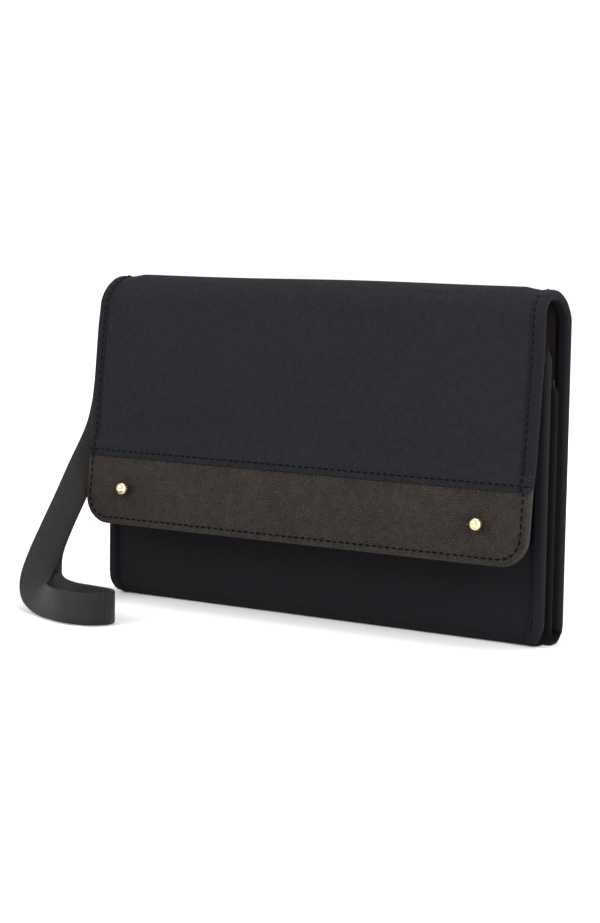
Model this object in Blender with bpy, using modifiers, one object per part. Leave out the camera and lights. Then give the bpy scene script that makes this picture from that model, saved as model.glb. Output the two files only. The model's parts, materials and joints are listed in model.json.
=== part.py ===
"""Passport holder wallet: a back panel, a flap that folds over the top and a front panel
that folds up from the bottom.  Metres, +Z up, the front faces -Y, the origin is on the
ground under the middle of the wallet.
"""
import math

import bmesh
import bpy
from mathutils import Matrix, Vector

# ---------------------------------------------------------------- driving dimensions
WIDTH = 0.200                     # panels, side to side
HEIGHT = 0.132                    # ground to the top of the top fold
TOP_DEPTH = 0.024                 # outside to outside over the top fold
BASE_DEPTH = 0.0184               # outside to outside over the bottom fold
FLAP_WIDTH = 0.202
FLAP_EDGE_HEIGHT = 0.031          # flap's lower edge above the ground
FLAP_FLARE = math.radians(6.0)    # how far the closed flap stands off upright
FRONT_DROP = 0.021                # front panel's top edge below the wallet's top
FRONT_OPEN = math.radians(35.0)   # how far the front panel falls open
BAND_HEIGHT = 0.0285              # leather band along the flap's lower edge
FLAP_CORNER = 0.011               # radius of the flap's lower corners

GAP = 0.0003                      # clearance between faces that touch
CLOTH = 0.0007                    # outer cloth
FILM = 0.0002                     # signal-blocking film
BOARD = 0.0008                    # stiffener
LINING = 0.0004
FOLD_THICKNESS = 0.0020           # cloth and lining together where the wallet folds
TAPE = 0.0005                     # binding tape
TAPE_LEG = 0.0045                 # how far the binding laps onto a panel

TOP_STRIPS = 3
POCKET_SHEET = 0.0008
POCKET_DROP = 0.034               # passport pocket's mouth below the wallet's top
POCKET_DEPTH = 0.0046             # room for a passport
POCKET_WELT = 0.0015              # side walls of the passport pocket
POCKET_HALF_WIDTH = 0.090         # middle of the wallet to a side wall
CARD_SHEET = 0.0004
CARD_STEPS = (0.058, 0.074, 0.090)
CARD_HALF_WIDTH = 0.091

COIN_HALF_WIDTH = 0.092
COIN_BASE_HEIGHT = 0.037          # coin pocket's floor above the ground
COIN_DROP = 0.033                 # coin pocket's upper edge below the wallet's top
WALL_DROP = 0.004                 # coin pocket's side walls below its upper edge
COIN_CLEAR = 0.0042               # coin pocket's face to the flap's lining
ZIP_DROP = 0.046                  # zip's middle below the wallet's top
ZIP_SLIT = 0.0044
ZIP_TAPE_WIDTH = 0.006
ZIP_TAPE = 0.0004
COIL_HEIGHT = 0.0015
COIL_THICKNESS = 0.0013
COIL_HALF_LENGTH = 0.080
SLIDER_LENGTH = 0.009
SLIDER_WIDTH = 0.0040
SLIDER_PLATE = 0.0008
PULL_LENGTH = 0.017
PULL_WIDTH = 0.0044
PULL_THICKNESS = 0.0007

SNAP_OFFSET = 0.081               # middle of the wallet to a snap
SNAP_EDGE = 0.0150                # snap's centre above the flap's lower edge
BALL_RADIUS = 0.0027
SHANK_RADIUS = 0.0012
SNAP_HOLE = 0.0016
SOCKET_RADIUS = 0.0045
SOCKET_BORE = 0.0024
SOCKET_HEIGHT = 0.0024
POST_RADIUS = 0.0016
POST_FLANGE = 0.0040

STRAP_WIDTH = 0.0125
STRAP_THICKNESS = 0.0012
TAB_WIDTH = 0.016
TAB_LENGTH = 0.020
TAB_THICKNESS = 0.0009
STRAP_HEIGHT = 0.100              # where the strap leaves the back panel's left edge

# ---------------------------------------------------------------- worked-out places
HALF = (CLOTH + FILM + BOARD + LINING + 3 * GAP) / 2
BOUND_HALF = HALF + GAP + TAPE
FOLD_HALF = FOLD_THICKNESS / 2
TURN = (math.pi - FLAP_FLARE) / (TOP_STRIPS + 1)
BASE_SPAN = BASE_DEPTH - 2 * HALF
TOP_SPAN = TOP_DEPTH - 2 * HALF
STRIP_LENGTH = TOP_SPAN / sum(math.sin(TURN * (i + 1)) for i in range(TOP_STRIPS))
RISES = [0.0]
for strip in range(TOP_STRIPS):
    RISES.append(RISES[-1] + STRIP_LENGTH * math.cos(TURN * (strip + 1)))
HINGE_HEIGHT = HEIGHT - FOLD_HALF - max(RISES)
BACK_LENGTH = HINGE_HEIGHT - FOLD_HALF
FLAP_HINGE_HEIGHT = HINGE_HEIGHT + RISES[-1]
FLAP_LENGTH = (FLAP_HINGE_HEIGHT - FLAP_EDGE_HEIGHT) / math.cos(FLAP_FLARE)
SNAP_V = FLAP_LENGTH - SNAP_EDGE
BALL_CENTRE = BALL_RADIUS * 0.80 + GAP

# The wallet's depth runs from the back binding to the front of the snaps' ball heads.
BALL_REACH = (
    TOP_SPAN
    + SNAP_V * math.sin(FLAP_FLARE)
    + (HALF + BALL_CENTRE) * math.cos(FLAP_FLARE)
    + BALL_RADIUS
)
BACK_Y = (BALL_REACH - BOUND_HALF) / 2

STRIP_CLEAR = 0.0006              # a fold strip's end to its hinge
PANEL_CLEAR = FOLD_HALF + 0.0004  # a panel's end to its hinge
FRONT_CLEAR = (FOLD_HALF + BOUND_HALF * math.sin(FRONT_OPEN)) / math.cos(FRONT_OPEN) + 0.0001


# ---------------------------------------------------------------- scene and materials
for old in list(bpy.data.objects):
    bpy.data.objects.remove(old)

parts = bpy.data.collections.new("passport_holder_wallet")
cutters = bpy.data.collections.new("cutters")
bpy.context.scene.collection.children.link(parts)
bpy.context.scene.collection.children.link(cutters)


def material(name, colour, roughness, metallic=0.0):
    """A plain Principled material."""
    made = bpy.data.materials.new(name)
    made.use_nodes = True
    shader = made.node_tree.nodes["Principled BSDF"]
    shader.inputs["Base Color"].default_value = (*colour, 1.0)
    shader.inputs["Roughness"].default_value = roughness
    shader.inputs["Metallic"].default_value = metallic
    return made


TWILL = material("twill", (0.022, 0.024, 0.032), 0.8)
PLAIN = material("plain_cloth", (0.014, 0.014, 0.019), 0.8)
LEATHER = material("leather", (0.034, 0.030, 0.027), 0.5)
LINER = material("lining", (0.022, 0.014, 0.013), 0.8)
WEBBING = material("webbing", (0.030, 0.027, 0.024), 0.6)
CARD = material("board", (0.35, 0.31, 0.25), 0.9)
FOIL = material("film", (0.55, 0.56, 0.58), 0.4, 0.8)
GOLD = material("gold", (0.79, 0.58, 0.18), 0.2, 1.0)
ZINC = material("zip_metal", (0.30, 0.30, 0.31), 0.3, 1.0)
NYLON = material("zip_nylon", (0.02, 0.02, 0.022), 0.5)


# ---------------------------------------------------------------- frames and shapes
def frame(name, parent=None, place=(0, 0, 0), turn=0.0):
    """An empty on a hinge line: local +Z runs along the panel, local X is the hinge."""
    empty = bpy.data.objects.new(name, None)
    parts.objects.link(empty)
    empty.parent = parent
    empty.location = place
    empty.rotation_euler = (turn, 0, 0)
    return empty


def add(name, mesh_or_bmesh, parent, finish, collection=parts):
    """Put a mesh in the scene under its frame."""
    if isinstance(mesh_or_bmesh, bmesh.types.BMesh):
        mesh = bpy.data.meshes.new(name)
        bmesh.ops.recalc_face_normals(mesh_or_bmesh, faces=mesh_or_bmesh.faces)
        mesh_or_bmesh.to_mesh(mesh)
        mesh_or_bmesh.free()
    else:
        mesh = mesh_or_bmesh
    made = bpy.data.objects.new(name, mesh)
    collection.objects.link(made)
    made.parent = parent
    if finish:
        mesh.materials.append(finish)
    return made


def sheet(name, parent, x, v, n, finish, low_corner=0.0, high_corner=0.0):
    """A flat piece: x across, v along the panel, n through it, with round corners."""
    low = Vector((x[0], min(n), v[0]))
    high = Vector((x[1], max(n), v[1]))
    body = bmesh.new()
    bmesh.ops.create_cube(body, size=1.0)
    centre = (low + high) / 2
    size = high - low
    bmesh.ops.transform(
        body,
        matrix=Matrix.Translation(centre) @ Matrix.Diagonal((*size, 1.0)),
        verts=body.verts,
    )
    for radius, side in ((low_corner, -1), (high_corner, 1)):
        if radius <= 0:
            continue
        corners = []
        for edge in body.edges:
            start, end = (corner.co for corner in edge.verts)
            along_n = abs((end - start).normalized().y) > 0.99
            if along_n and (start.z - centre.z) * side > 0 and abs(start.x - centre.x) > size.x * 0.49:
                corners.append(edge)
        bmesh.ops.bevel(body, geom=corners, offset=radius, segments=5, profile=0.5, affect="EDGES")
    return add(name, body, parent, finish)


def binding(name, parent, edge, inward, v, finish, centre_n=0.0, half=HALF, along="z"):
    """Tape folded round an edge: an open channel of three faces, thickened evenly."""
    reach = half + GAP + TAPE / 2
    inside = edge + inward * TAPE_LEG
    spine = edge - inward * TAPE / 2
    route = [(inside, -reach), (spine, -reach), (spine, reach), (inside, reach)]
    channel = bmesh.new()
    rows = []
    for end in v:
        row = []
        for across, through in route:
            if along == "z":
                point = (across, centre_n + through, end)
            else:
                point = (end, centre_n + through, across)
            row.append(channel.verts.new(point))
        rows.append(row)
    for low_a, low_b, high_a, high_b in zip(rows[0], rows[0][1:], rows[1], rows[1][1:]):
        channel.faces.new((low_a, low_b, high_b, high_a))
    made = add(name, channel, parent, finish)
    wall = made.modifiers.new("tape", "SOLIDIFY")
    wall.thickness = TAPE
    wall.offset = 0.0
    wall.use_even_offset = True
    return made


def turned(name, parent, place, profile, finish, facing=1):
    """A round piece from its half profile, top to bottom, its axis along the panel's normal."""
    mesh = bpy.data.meshes.new(name)
    points = [(radius, 0.0, height) for radius, height in profile]
    mesh.from_pydata(points, [(i, i + 1) for i in range(len(points) - 1)], [])
    made = add(name, mesh, parent, finish)
    made.location = place
    made.rotation_euler = (-facing * math.pi / 2, 0, 0)
    spin = made.modifiers.new("turn", "SCREW")
    spin.steps = 24
    spin.render_steps = 24
    spin.use_merge_vertices = True
    spin.merge_threshold = 0.00001
    spin.use_smooth_shade = True
    return made


def drill(pieces, parent, place, radius, depth=0.012):
    """Cut one round hole through each piece, along the panel's normal."""
    rod = bmesh.new()
    bmesh.ops.create_cone(
        rod, cap_ends=True, segments=24, radius1=radius, radius2=radius, depth=depth
    )
    cutter = add("hole_cutter", rod, parent, None, cutters)
    cutter.location = place
    cutter.rotation_euler = (math.pi / 2, 0, 0)
    cutter.hide_render = True
    cutter.display_type = "WIRE"
    for piece in pieces:
        cut = piece.modifiers.new("hole", "BOOLEAN")
        cut.operation = "DIFFERENCE"
        cut.solver = "EXACT"
        cut.object = cutter


def layers(out):
    """Through-panel ranges of cloth, film, board and lining, where out is the outer side."""
    place = HALF
    ranges = []
    for thickness in (CLOTH, FILM, BOARD, LINING):
        ranges.append((out * place, out * (place - thickness)))
        place -= thickness + GAP
    return ranges


HALF_WIDTH = WIDTH / 2 - TAPE - GAP
FLAP_HALF_WIDTH = FLAP_WIDTH / 2 - TAPE - GAP

# ---------------------------------------------------------------- hinge frames
back = frame("back_frame", None, (0, BACK_Y, FOLD_HALF))
base = frame("base_frame", back, (0, 0, 0), math.pi / 2)
front = frame("front_frame", back, (0, -BASE_SPAN, 0))
strips = [frame("top_strip_frame_1", back, (0, 0, BACK_LENGTH), TURN)]
for number in range(2, TOP_STRIPS + 1):
    strips.append(frame(f"top_strip_frame_{number}", strips[-1], (0, 0, STRIP_LENGTH), TURN))
flap = frame("flap_frame", strips[-1], (0, 0, STRIP_LENGTH), TURN)

# ---------------------------------------------------------------- back panel
back_v = (PANEL_CLEAR, BACK_LENGTH - PANEL_CLEAR)
cloth_n, film_n, board_n, lining_n = layers(1)
across = (-HALF_WIDTH, HALF_WIDTH)
inset = (-HALF_WIDTH + 0.002, HALF_WIDTH - 0.002)
back_cloth = sheet("back_outer_cloth", back, across, back_v, cloth_n, PLAIN)
sheet("back_blocking_film", back, inset, back_v, film_n, FOIL)
sheet("back_board", back, inset, back_v, board_n, CARD)
sheet("back_lining", back, across, back_v, lining_n, LINER)
for side, label in ((-1, "left"), (1, "right")):
    binding(f"back_binding_{label}", back, side * HALF_WIDTH + side * GAP, -side, back_v, PLAIN)

# Card pockets: stepped sheets on the back panel's inner side, the lowest one in front.
card_n = -HALF
for number, step in enumerate(reversed(CARD_STEPS)):
    card_n -= GAP
    sheet(
        f"card_pocket_{len(CARD_STEPS) - number}",
        back,
        (-CARD_HALF_WIDTH, CARD_HALF_WIDTH),
        (PANEL_CLEAR + 0.002, step),
        (card_n, card_n - CARD_SHEET),
        LINER,
    )
    card_n -= CARD_SHEET

# ---------------------------------------------------------------- bottom fold
sheet(
    "bottom_fold",
    base,
    (-WIDTH / 2, WIDTH / 2),
    (-HALF, BASE_SPAN + HALF),
    (-FOLD_HALF, FOLD_HALF),
    PLAIN,
)

# ---------------------------------------------------------------- top fold
for number, strip_frame in enumerate(strips, 1):
    sheet(
        f"top_fold_{number}",
        strip_frame,
        (-WIDTH / 2, WIDTH / 2),
        (STRIP_CLEAR, STRIP_LENGTH - STRIP_CLEAR),
        (-FOLD_HALF, FOLD_HALF),
        TWILL,
    )

# ---------------------------------------------------------------- flap
flap_end = FLAP_LENGTH - TAPE
seam_v = FLAP_LENGTH - BAND_HEIGHT
flap_x = (-FLAP_HALF_WIDTH, FLAP_HALF_WIDTH)
flap_inset = (-FLAP_HALF_WIDTH + 0.002, FLAP_HALF_WIDTH - 0.002)
sheet("flap_twill", flap, flap_x, (PANEL_CLEAR, seam_v - GAP), cloth_n, TWILL)
band = sheet(
    "flap_leather_band", flap, flap_x, (seam_v, flap_end), cloth_n, LEATHER, 0.0, FLAP_CORNER
)
sheet("flap_blocking_film", flap, flap_inset, (PANEL_CLEAR, seam_v - GAP), film_n, FOIL)
flap_board = sheet(
    "flap_board", flap, flap_inset, (PANEL_CLEAR, flap_end - 0.002), board_n, CARD, 0.0, FLAP_CORNER
)
flap_lining = sheet(
    "flap_lining", flap, flap_x, (PANEL_CLEAR, flap_end), lining_n, LINER, 0.0, FLAP_CORNER
)
flap_binding_v = (PANEL_CLEAR, flap_end - FLAP_CORNER - TAPE)
for side, label in ((-1, "left"), (1, "right")):
    edge = side * (FLAP_HALF_WIDTH + GAP)
    binding(f"flap_binding_{label}", flap, edge, -side, flap_binding_v, TWILL)

# ---------------------------------------------------------------- front panel
front_end = HEIGHT - FRONT_DROP - FOLD_HALF - TAPE - GAP
front_v = (FRONT_CLEAR, front_end)
cloth_n, film_n, board_n, lining_n = layers(-1)
sheet("front_outer_cloth", front, across, front_v, cloth_n, PLAIN)
sheet("front_blocking_film", front, inset, front_v, film_n, FOIL)
sheet("front_board", front, inset, front_v, board_n, CARD)
sheet("front_lining", front, across, front_v, lining_n, LINER)
side_v = (FRONT_CLEAR, front_end - TAPE_LEG - GAP)
for side, label in ((-1, "left"), (1, "right")):
    binding(f"front_binding_{label}", front, side * (HALF_WIDTH + GAP), -side, side_v, PLAIN)
binding(
    "front_binding_top", front, front_end + GAP, -1, (-WIDTH / 2, WIDTH / 2), PLAIN, along="x"
)

# Passport pocket: a bound sheet held off the lining by two side walls.
pocket_near = HALF + POCKET_DEPTH
pocket_mid = pocket_near + POCKET_SHEET / 2
pocket_v = (FRONT_CLEAR, HEIGHT - POCKET_DROP - FOLD_HALF)
sheet(
    "passport_pocket_sheet",
    front,
    across,
    pocket_v,
    (pocket_near, pocket_near + POCKET_SHEET),
    LINER,
)
for side, label in ((-1, "left"), (1, "right")):
    inner = side * POCKET_HALF_WIDTH
    outer = side * (POCKET_HALF_WIDTH + POCKET_WELT)
    sheet(
        f"passport_pocket_wall_{label}",
        front,
        (min(inner, outer), max(inner, outer)),
        pocket_v,
        (HALF + GAP, pocket_near - GAP),
        LINER,
    )
    binding(
        f"passport_pocket_binding_{label}",
        front,
        side * (HALF_WIDTH + GAP),
        -side,
        pocket_v,
        PLAIN,
        centre_n=pocket_mid,
        half=POCKET_SHEET / 2,
    )

# ---------------------------------------------------------------- coin pocket
# Its face is parallel to the closed flap, so it grows deeper towards its floor.
coin_low = COIN_BASE_HEIGHT - FOLD_HALF


def flap_clearance(height):
    """Front panel's middle to the flap's lining at a height in the front panel's frame."""
    drop = FLAP_HINGE_HEIGHT - FOLD_HALF - height
    return (TOP_SPAN - BASE_SPAN) + drop * math.tan(FLAP_FLARE) - HALF / math.cos(FLAP_FLARE)


coin_out = flap_clearance(coin_low) - (COIN_CLEAR + CLOTH / 2) / math.cos(FLAP_FLARE)
coin = frame("coin_pocket_frame", front, (0, -coin_out, coin_low), -FLAP_FLARE)
coin_rise = (HEIGHT - COIN_DROP - COIN_BASE_HEIGHT) / math.cos(FLAP_FLARE)
zip_v = (HEIGHT - ZIP_DROP - COIN_BASE_HEIGHT) / math.cos(FLAP_FLARE)
coin_x = (-COIN_HALF_WIDTH, COIN_HALF_WIDTH)
coin_n = (-CLOTH / 2, CLOTH / 2)
coin_face = sheet("coin_pocket_face", coin, coin_x, (0, zip_v - ZIP_SLIT / 2), coin_n, PLAIN)
sheet("coin_pocket_top_strip", coin, coin_x, (zip_v + ZIP_SLIT / 2, coin_rise), coin_n, PLAIN)

tape_n = (CLOTH / 2 + GAP, CLOTH / 2 + GAP + ZIP_TAPE)
tape_inner = COIL_HEIGHT / 2 + GAP
tape_x = (-COIL_HALF_LENGTH - 0.004, COIL_HALF_LENGTH + 0.004)
sheet("zip_tape_upper", coin, tape_x, (zip_v + tape_inner, zip_v + ZIP_TAPE_WIDTH), tape_n, NYLON)
sheet("zip_tape_lower", coin, tape_x, (zip_v - ZIP_TAPE_WIDTH, zip_v - tape_inner), tape_n, NYLON)
sheet(
    "zip_coil",
    coin,
    (-COIL_HALF_LENGTH, COIL_HALF_LENGTH),
    (zip_v - COIL_HEIGHT / 2, zip_v + COIL_HEIGHT / 2),
    (-COIL_THICKNESS / 2, COIL_THICKNESS / 2),
    NYLON,
)
for side, label in ((-1, "left"), (1, "right")):
    ends = sorted((side * (COIL_HALF_LENGTH + GAP), side * (COIL_HALF_LENGTH + 0.0023)))
    sheet(
        f"zip_stop_{label}",
        coin,
        ends,
        (zip_v - ZIP_SLIT / 2 + GAP, zip_v + ZIP_SLIT / 2 - GAP),
        (-COIL_THICKNESS, CLOTH / 2),
        ZINC,
    )

# Floor and two tapering side walls close the pocket against the front panel.
floor_back = HALF + GAP
floor_front = coin_out - CLOTH / 2 - GAP
sheet(
    "coin_pocket_floor",
    front,
    coin_x,
    (coin_low, coin_low + CLOTH),
    (-floor_back, -floor_front),
    PLAIN,
)


def coin_wall(label, side):
    """A side wall, as deep as the floor at the bottom; it ends below the pocket's upper
    edge, or where the pocket's face comes back to the panel."""
    seam = (CLOTH / 2 + 2 * GAP + ZIP_TAPE) / math.cos(FLAP_FLARE)
    low_v = coin_low + CLOTH + GAP
    meeting = coin_low + (coin_out - seam - floor_back - GAP) / math.tan(FLAP_FLARE)
    high_v = min(coin_low + coin_rise * math.cos(FLAP_FLARE) - WALL_DROP, meeting)
    low_depth = coin_out - seam - (low_v - coin_low) * math.tan(FLAP_FLARE)
    high_depth = coin_out - seam - (high_v - coin_low) * math.tan(FLAP_FLARE)
    corners = [
        (low_v, floor_back),
        (low_v, low_depth),
        (high_v, high_depth),
        (high_v, floor_back),
    ]
    wall = bmesh.new()
    outer = side * COIN_HALF_WIDTH
    inner = side * (COIN_HALF_WIDTH - CLOTH)
    face = wall.faces.new([wall.verts.new((outer, -depth, height)) for height, depth in corners])
    grown = bmesh.ops.extrude_face_region(wall, geom=[face])
    moved = [item for item in grown["geom"] if isinstance(item, bmesh.types.BMVert)]
    bmesh.ops.translate(wall, verts=moved, vec=(inner - outer, 0, 0))
    return add(f"coin_pocket_wall_{label}", wall, front, PLAIN)


coin_wall("left", -1)
coin_wall("right", 1)

# ---------------------------------------------------------------- zip slider and pull
slider_x = COIL_HALF_LENGTH - SLIDER_LENGTH / 2
slider_frame = frame("zip_slider_frame", coin, (slider_x, 0, zip_v))
plate_near = COIL_THICKNESS / 2 + GAP
rivet_top = plate_near + SLIDER_PLATE + GAP + PULL_THICKNESS + GAP
slider = sheet(
    "zip_slider",
    slider_frame,
    (-SLIDER_LENGTH / 2, SLIDER_LENGTH / 2),
    (-SLIDER_WIDTH / 2, SLIDER_WIDTH / 2),
    (-plate_near - SLIDER_PLATE, CLOTH / 2),
    ZINC,
)
groove = sheet(
    "slider_groove_cutter",
    slider_frame,
    (-SLIDER_LENGTH, SLIDER_LENGTH),
    (-COIL_HEIGHT / 2 - GAP, COIL_HEIGHT / 2 + GAP),
    (-plate_near, COIL_THICKNESS),
    None,
)
rivet = turned(
    "slider_rivet",
    slider_frame,
    (0, 0, 0),
    [
        (0.0, rivet_top + 0.0005),
        (0.0014, rivet_top + 0.0005),
        (0.0014, rivet_top),
        (0.0008, rivet_top),
        (0.0008, plate_near + SLIDER_PLATE / 2),
        (0.0, plate_near + SLIDER_PLATE / 2),
    ],
    None,
    -1,
)
for tool, operation in ((groove, "DIFFERENCE"), (rivet, "UNION")):
    parts.objects.unlink(tool)
    cutters.objects.link(tool)
    tool.hide_render = True
    tool.display_type = "WIRE"
    step = slider.modifiers.new("shape", "BOOLEAN")
    step.operation = operation
    step.solver = "EXACT"
    step.object = tool

pull_n = plate_near + SLIDER_PLATE + GAP
pull = sheet(
    "zip_pull",
    slider_frame,
    (-PULL_WIDTH / 2, PULL_WIDTH / 2),
    (-PULL_LENGTH + PULL_WIDTH / 2, PULL_WIDTH / 2),
    (-pull_n, -pull_n - PULL_THICKNESS),
    ZINC,
    PULL_WIDTH * 0.3,
    PULL_WIDTH * 0.3,
)
drill([pull], slider_frame, (0, -pull_n, 0), 0.0011)

# ---------------------------------------------------------------- snaps
ball = []
for step in range(9):
    angle = math.pi / 2 - step * math.radians(17.5)
    ball.append((max(BALL_RADIUS * math.cos(angle), 0.0), BALL_CENTRE + BALL_RADIUS * math.sin(angle)))
ball[0] = (0.0, BALL_CENTRE + BALL_RADIUS)
cap_profile = [point for point in ball if point[1] > GAP + 0.0003]
cap_profile += [(0.0018, GAP + 0.0003), (0.0018, GAP), (SHANK_RADIUS, GAP)]
cap_profile += [(SHANK_RADIUS, -2 * HALF), (0.0, -2 * HALF)]

socket_top = -2 * HALF - GAP
socket_floor = socket_top - 0.0006
socket_low = socket_top - SOCKET_HEIGHT
socket_profile = [
    (0.0, socket_top),
    (SOCKET_RADIUS, socket_top),
    (SOCKET_RADIUS, socket_low),
    (SOCKET_BORE, socket_low),
    (SOCKET_BORE, socket_floor),
    (0.0, socket_floor),
]
post_top = COIN_CLEAR - 0.0006 - 2 * GAP
post_profile = [
    (0.0, post_top),
    (POST_RADIUS, post_top),
    (POST_RADIUS, post_top - 0.0008),
    (POST_RADIUS - 0.0002, post_top - 0.0010),
    (POST_RADIUS - 0.0002, GAP + 0.0006),
    (POST_FLANGE, GAP + 0.0006),
    (POST_FLANGE, GAP),
    (SHANK_RADIUS, GAP),
    (SHANK_RADIUS, -CLOTH),
    (0.0, -CLOTH),
]
back_plate_profile = [
    (0.0, -CLOTH - GAP),
    (POST_FLANGE, -CLOTH - GAP),
    (POST_FLANGE, -CLOTH - GAP - 0.0006),
    (0.0, -CLOTH - GAP - 0.0006),
]

# A post's height along the coin pocket's face, straight behind its socket.
FLAP_TO_COIN = HALF + COIN_CLEAR + CLOTH / 2
snap_height = (
    FLAP_HINGE_HEIGHT
    - FOLD_HALF
    - SNAP_V * math.cos(FLAP_FLARE)
    - FLAP_TO_COIN * math.sin(FLAP_FLARE)
)
post_v = (snap_height - coin_low) / math.cos(FLAP_FLARE)
for side, label in ((-1, "left"), (1, "right")):
    on_flap = (side * SNAP_OFFSET, HALF, SNAP_V)
    on_coin = (side * SNAP_OFFSET, -CLOTH / 2, post_v)
    turned(f"snap_cap_{label}", flap, on_flap, cap_profile, GOLD)
    turned(f"snap_socket_{label}", flap, on_flap, socket_profile, GOLD)
    drill([band, flap_board, flap_lining], flap, on_flap, SNAP_HOLE)
    turned(f"snap_post_{label}", coin, on_coin, post_profile, GOLD, -1)
    turned(f"snap_back_plate_{label}", coin, on_coin, back_plate_profile, GOLD, -1)
    drill([coin_face], coin, on_coin, SNAP_HOLE, 0.004)

# ---------------------------------------------------------------- strap tab and strap
tab_x = -WIDTH / 2 + TAPE_LEG + TAPE + GAP
sheet(
    "strap_anchor_tab",
    back,
    (tab_x, tab_x + TAB_LENGTH),
    (STRAP_HEIGHT - FOLD_HALF - TAB_WIDTH / 2, STRAP_HEIGHT - FOLD_HALF + TAB_WIDTH / 2),
    (-HALF - GAP, -HALF - GAP - TAB_THICKNESS),
    WEBBING,
)

# The strap's route, start to end, in millimetres from the left edge: centre of the
# webbing, then the direction across it.  It leaves the left edge, hangs forward to the
# ground, stands on its edge there, turns back and rises behind itself to the same edge.
STRAP_ROUTE = (
    ((-1.2, 15.5, 100.0), (0.00, 0.00, -1.00)),
    ((-4.5, 15.3, 100.0), (0.00, 0.00, -1.00)),
    ((-8.5, 14.2, 96.5), (0.50, 0.25, -0.80)),
    ((-9.5, 11.5, 88.0), (0.75, 0.43, -0.50)),
    ((-8.2, 7.5, 77.0), (0.79, 0.46, -0.40)),
    ((-7.0, 1.3, 66.0), (0.79, 0.46, -0.40)),
    ((-7.0, -8.7, 52.9), (0.79, 0.46, -0.40)),
    ((-7.0, -17.7, 40.5), (0.79, 0.46, -0.40)),
    ((-6.5, -26.7, 29.6), (0.80, 0.48, -0.36)),
    ((-5.5, -35.2, 20.0), (0.82, 0.50, -0.28)),
    ((-3.0, -43.2, 12.4), (0.83, 0.54, -0.05)),
    ((2.5, -50.7, 8.2), (0.68, 0.55, 0.48)),
    ((11.5, -58.2, 6.7), (0.30, 0.30, 0.90)),
    ((22.0, -64.7, 6.6), (0.05, 0.05, 1.00)),
    ((33.0, -67.7, 6.6), (0.00, 0.00, 1.00)),
    ((42.5, -65.7, 6.6), (0.00, 0.00, 1.00)),
    ((47.0, -59.2, 6.6), (0.00, 0.00, 1.00)),
    ((43.0, -52.7, 6.6), (0.00, 0.00, 1.00)),
    ((32.0, -50.7, 6.6), (0.00, 0.00, 1.00)),
    ((21.0, -49.2, 6.6), (0.05, 0.05, 1.00)),
    ((10.0, -45.2, 7.2), (0.30, 0.30, 0.90)),
    ((0.5, -39.7, 9.5), (0.68, 0.55, 0.48)),
    ((-7.0, -32.2, 13.8), (0.83, 0.54, -0.05)),
    ((-9.6, -27.7, 20.5), (0.82, 0.50, -0.28)),
    ((-10.8, -20.2, 30.0), (0.80, 0.48, -0.36)),
    ((-11.0, -11.7, 41.0), (0.79, 0.46, -0.40)),
    ((-11.0, -2.7, 53.5), (0.79, 0.46, -0.40)),
    ((-11.0, 6.8, 66.5), (0.79, 0.46, -0.40)),
    ((-12.2, 14.3, 79.0), (0.79, 0.46, -0.40)),
    ((-12.5, 17.6, 89.0), (0.75, 0.43, -0.50)),
    ((-9.8, 18.6, 96.8), (0.50, 0.25, -0.80)),
    ((-4.8, 18.2, 100.0), (0.00, 0.00, -1.00)),
    ((-1.2, 17.9, 100.0), (0.00, 0.00, -1.00)),
)
STEPS_PER_STRETCH = 2


def smooth(before, start, end, after, share):
    """A point on the smooth curve through four neighbours, between the middle two."""
    square = share * share
    cube = square * share
    return 0.5 * (
        2 * start
        + (end - before) * share
        + (2 * before - 5 * start + 4 * end - after) * square
        + (3 * start - before - 3 * end + after) * cube
    )


def strap_stations(route):
    """Centres and across-directions along the smooth route."""
    edge = Vector((-WIDTH / 2, 0, 0))
    rows = [(edge + Vector(centre) / 1000, Vector(way)) for centre, way in route]
    stations = []
    for index in range(len(rows) - 1):
        around = [rows[min(max(index + offset, 0), len(rows) - 1)] for offset in (-1, 0, 1, 2)]
        for step in range(STEPS_PER_STRETCH):
            share = step / STEPS_PER_STRETCH
            centre = smooth(*(row[0] for row in around), share)
            width_way = smooth(*(row[1] for row in around), share)
            stations.append((centre, width_way))
    stations.append(rows[-1])
    return stations


def webbing(name, route, width, thickness, finish):
    """Flat tape: a rectangle carried along the route, closed at both ends."""
    stations = strap_stations(route)
    tape = bmesh.new()
    rings = []
    for index, (centre, width_way) in enumerate(stations):
        ahead = stations[min(index + 1, len(stations) - 1)][0]
        behind = stations[max(index - 1, 0)][0]
        forward = (ahead - behind).normalized()
        across_it = (width_way - forward * width_way.dot(forward)).normalized()
        through = forward.cross(across_it)
        ring = []
        for a, b in ((-1, -1), (1, -1), (1, 1), (-1, 1)):
            corner = centre + across_it * (a * width / 2) + through * (b * thickness / 2)
            ring.append(tape.verts.new(corner))
        rings.append(ring)
    for first, second in zip(rings, rings[1:]):
        for k in range(4):
            m = (k + 1) % 4
            tape.faces.new((first[k], first[m], second[m], second[k]))
    tape.faces.new(rings[0])
    tape.faces.new(rings[-1])
    return add(name, tape, None, finish)


webbing("wrist_strap", STRAP_ROUTE, STRAP_WIDTH, STRAP_THICKNESS, WEBBING)
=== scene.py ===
import json
import math

import bmesh
import bpy
from mathutils import Matrix, Vector


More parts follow.
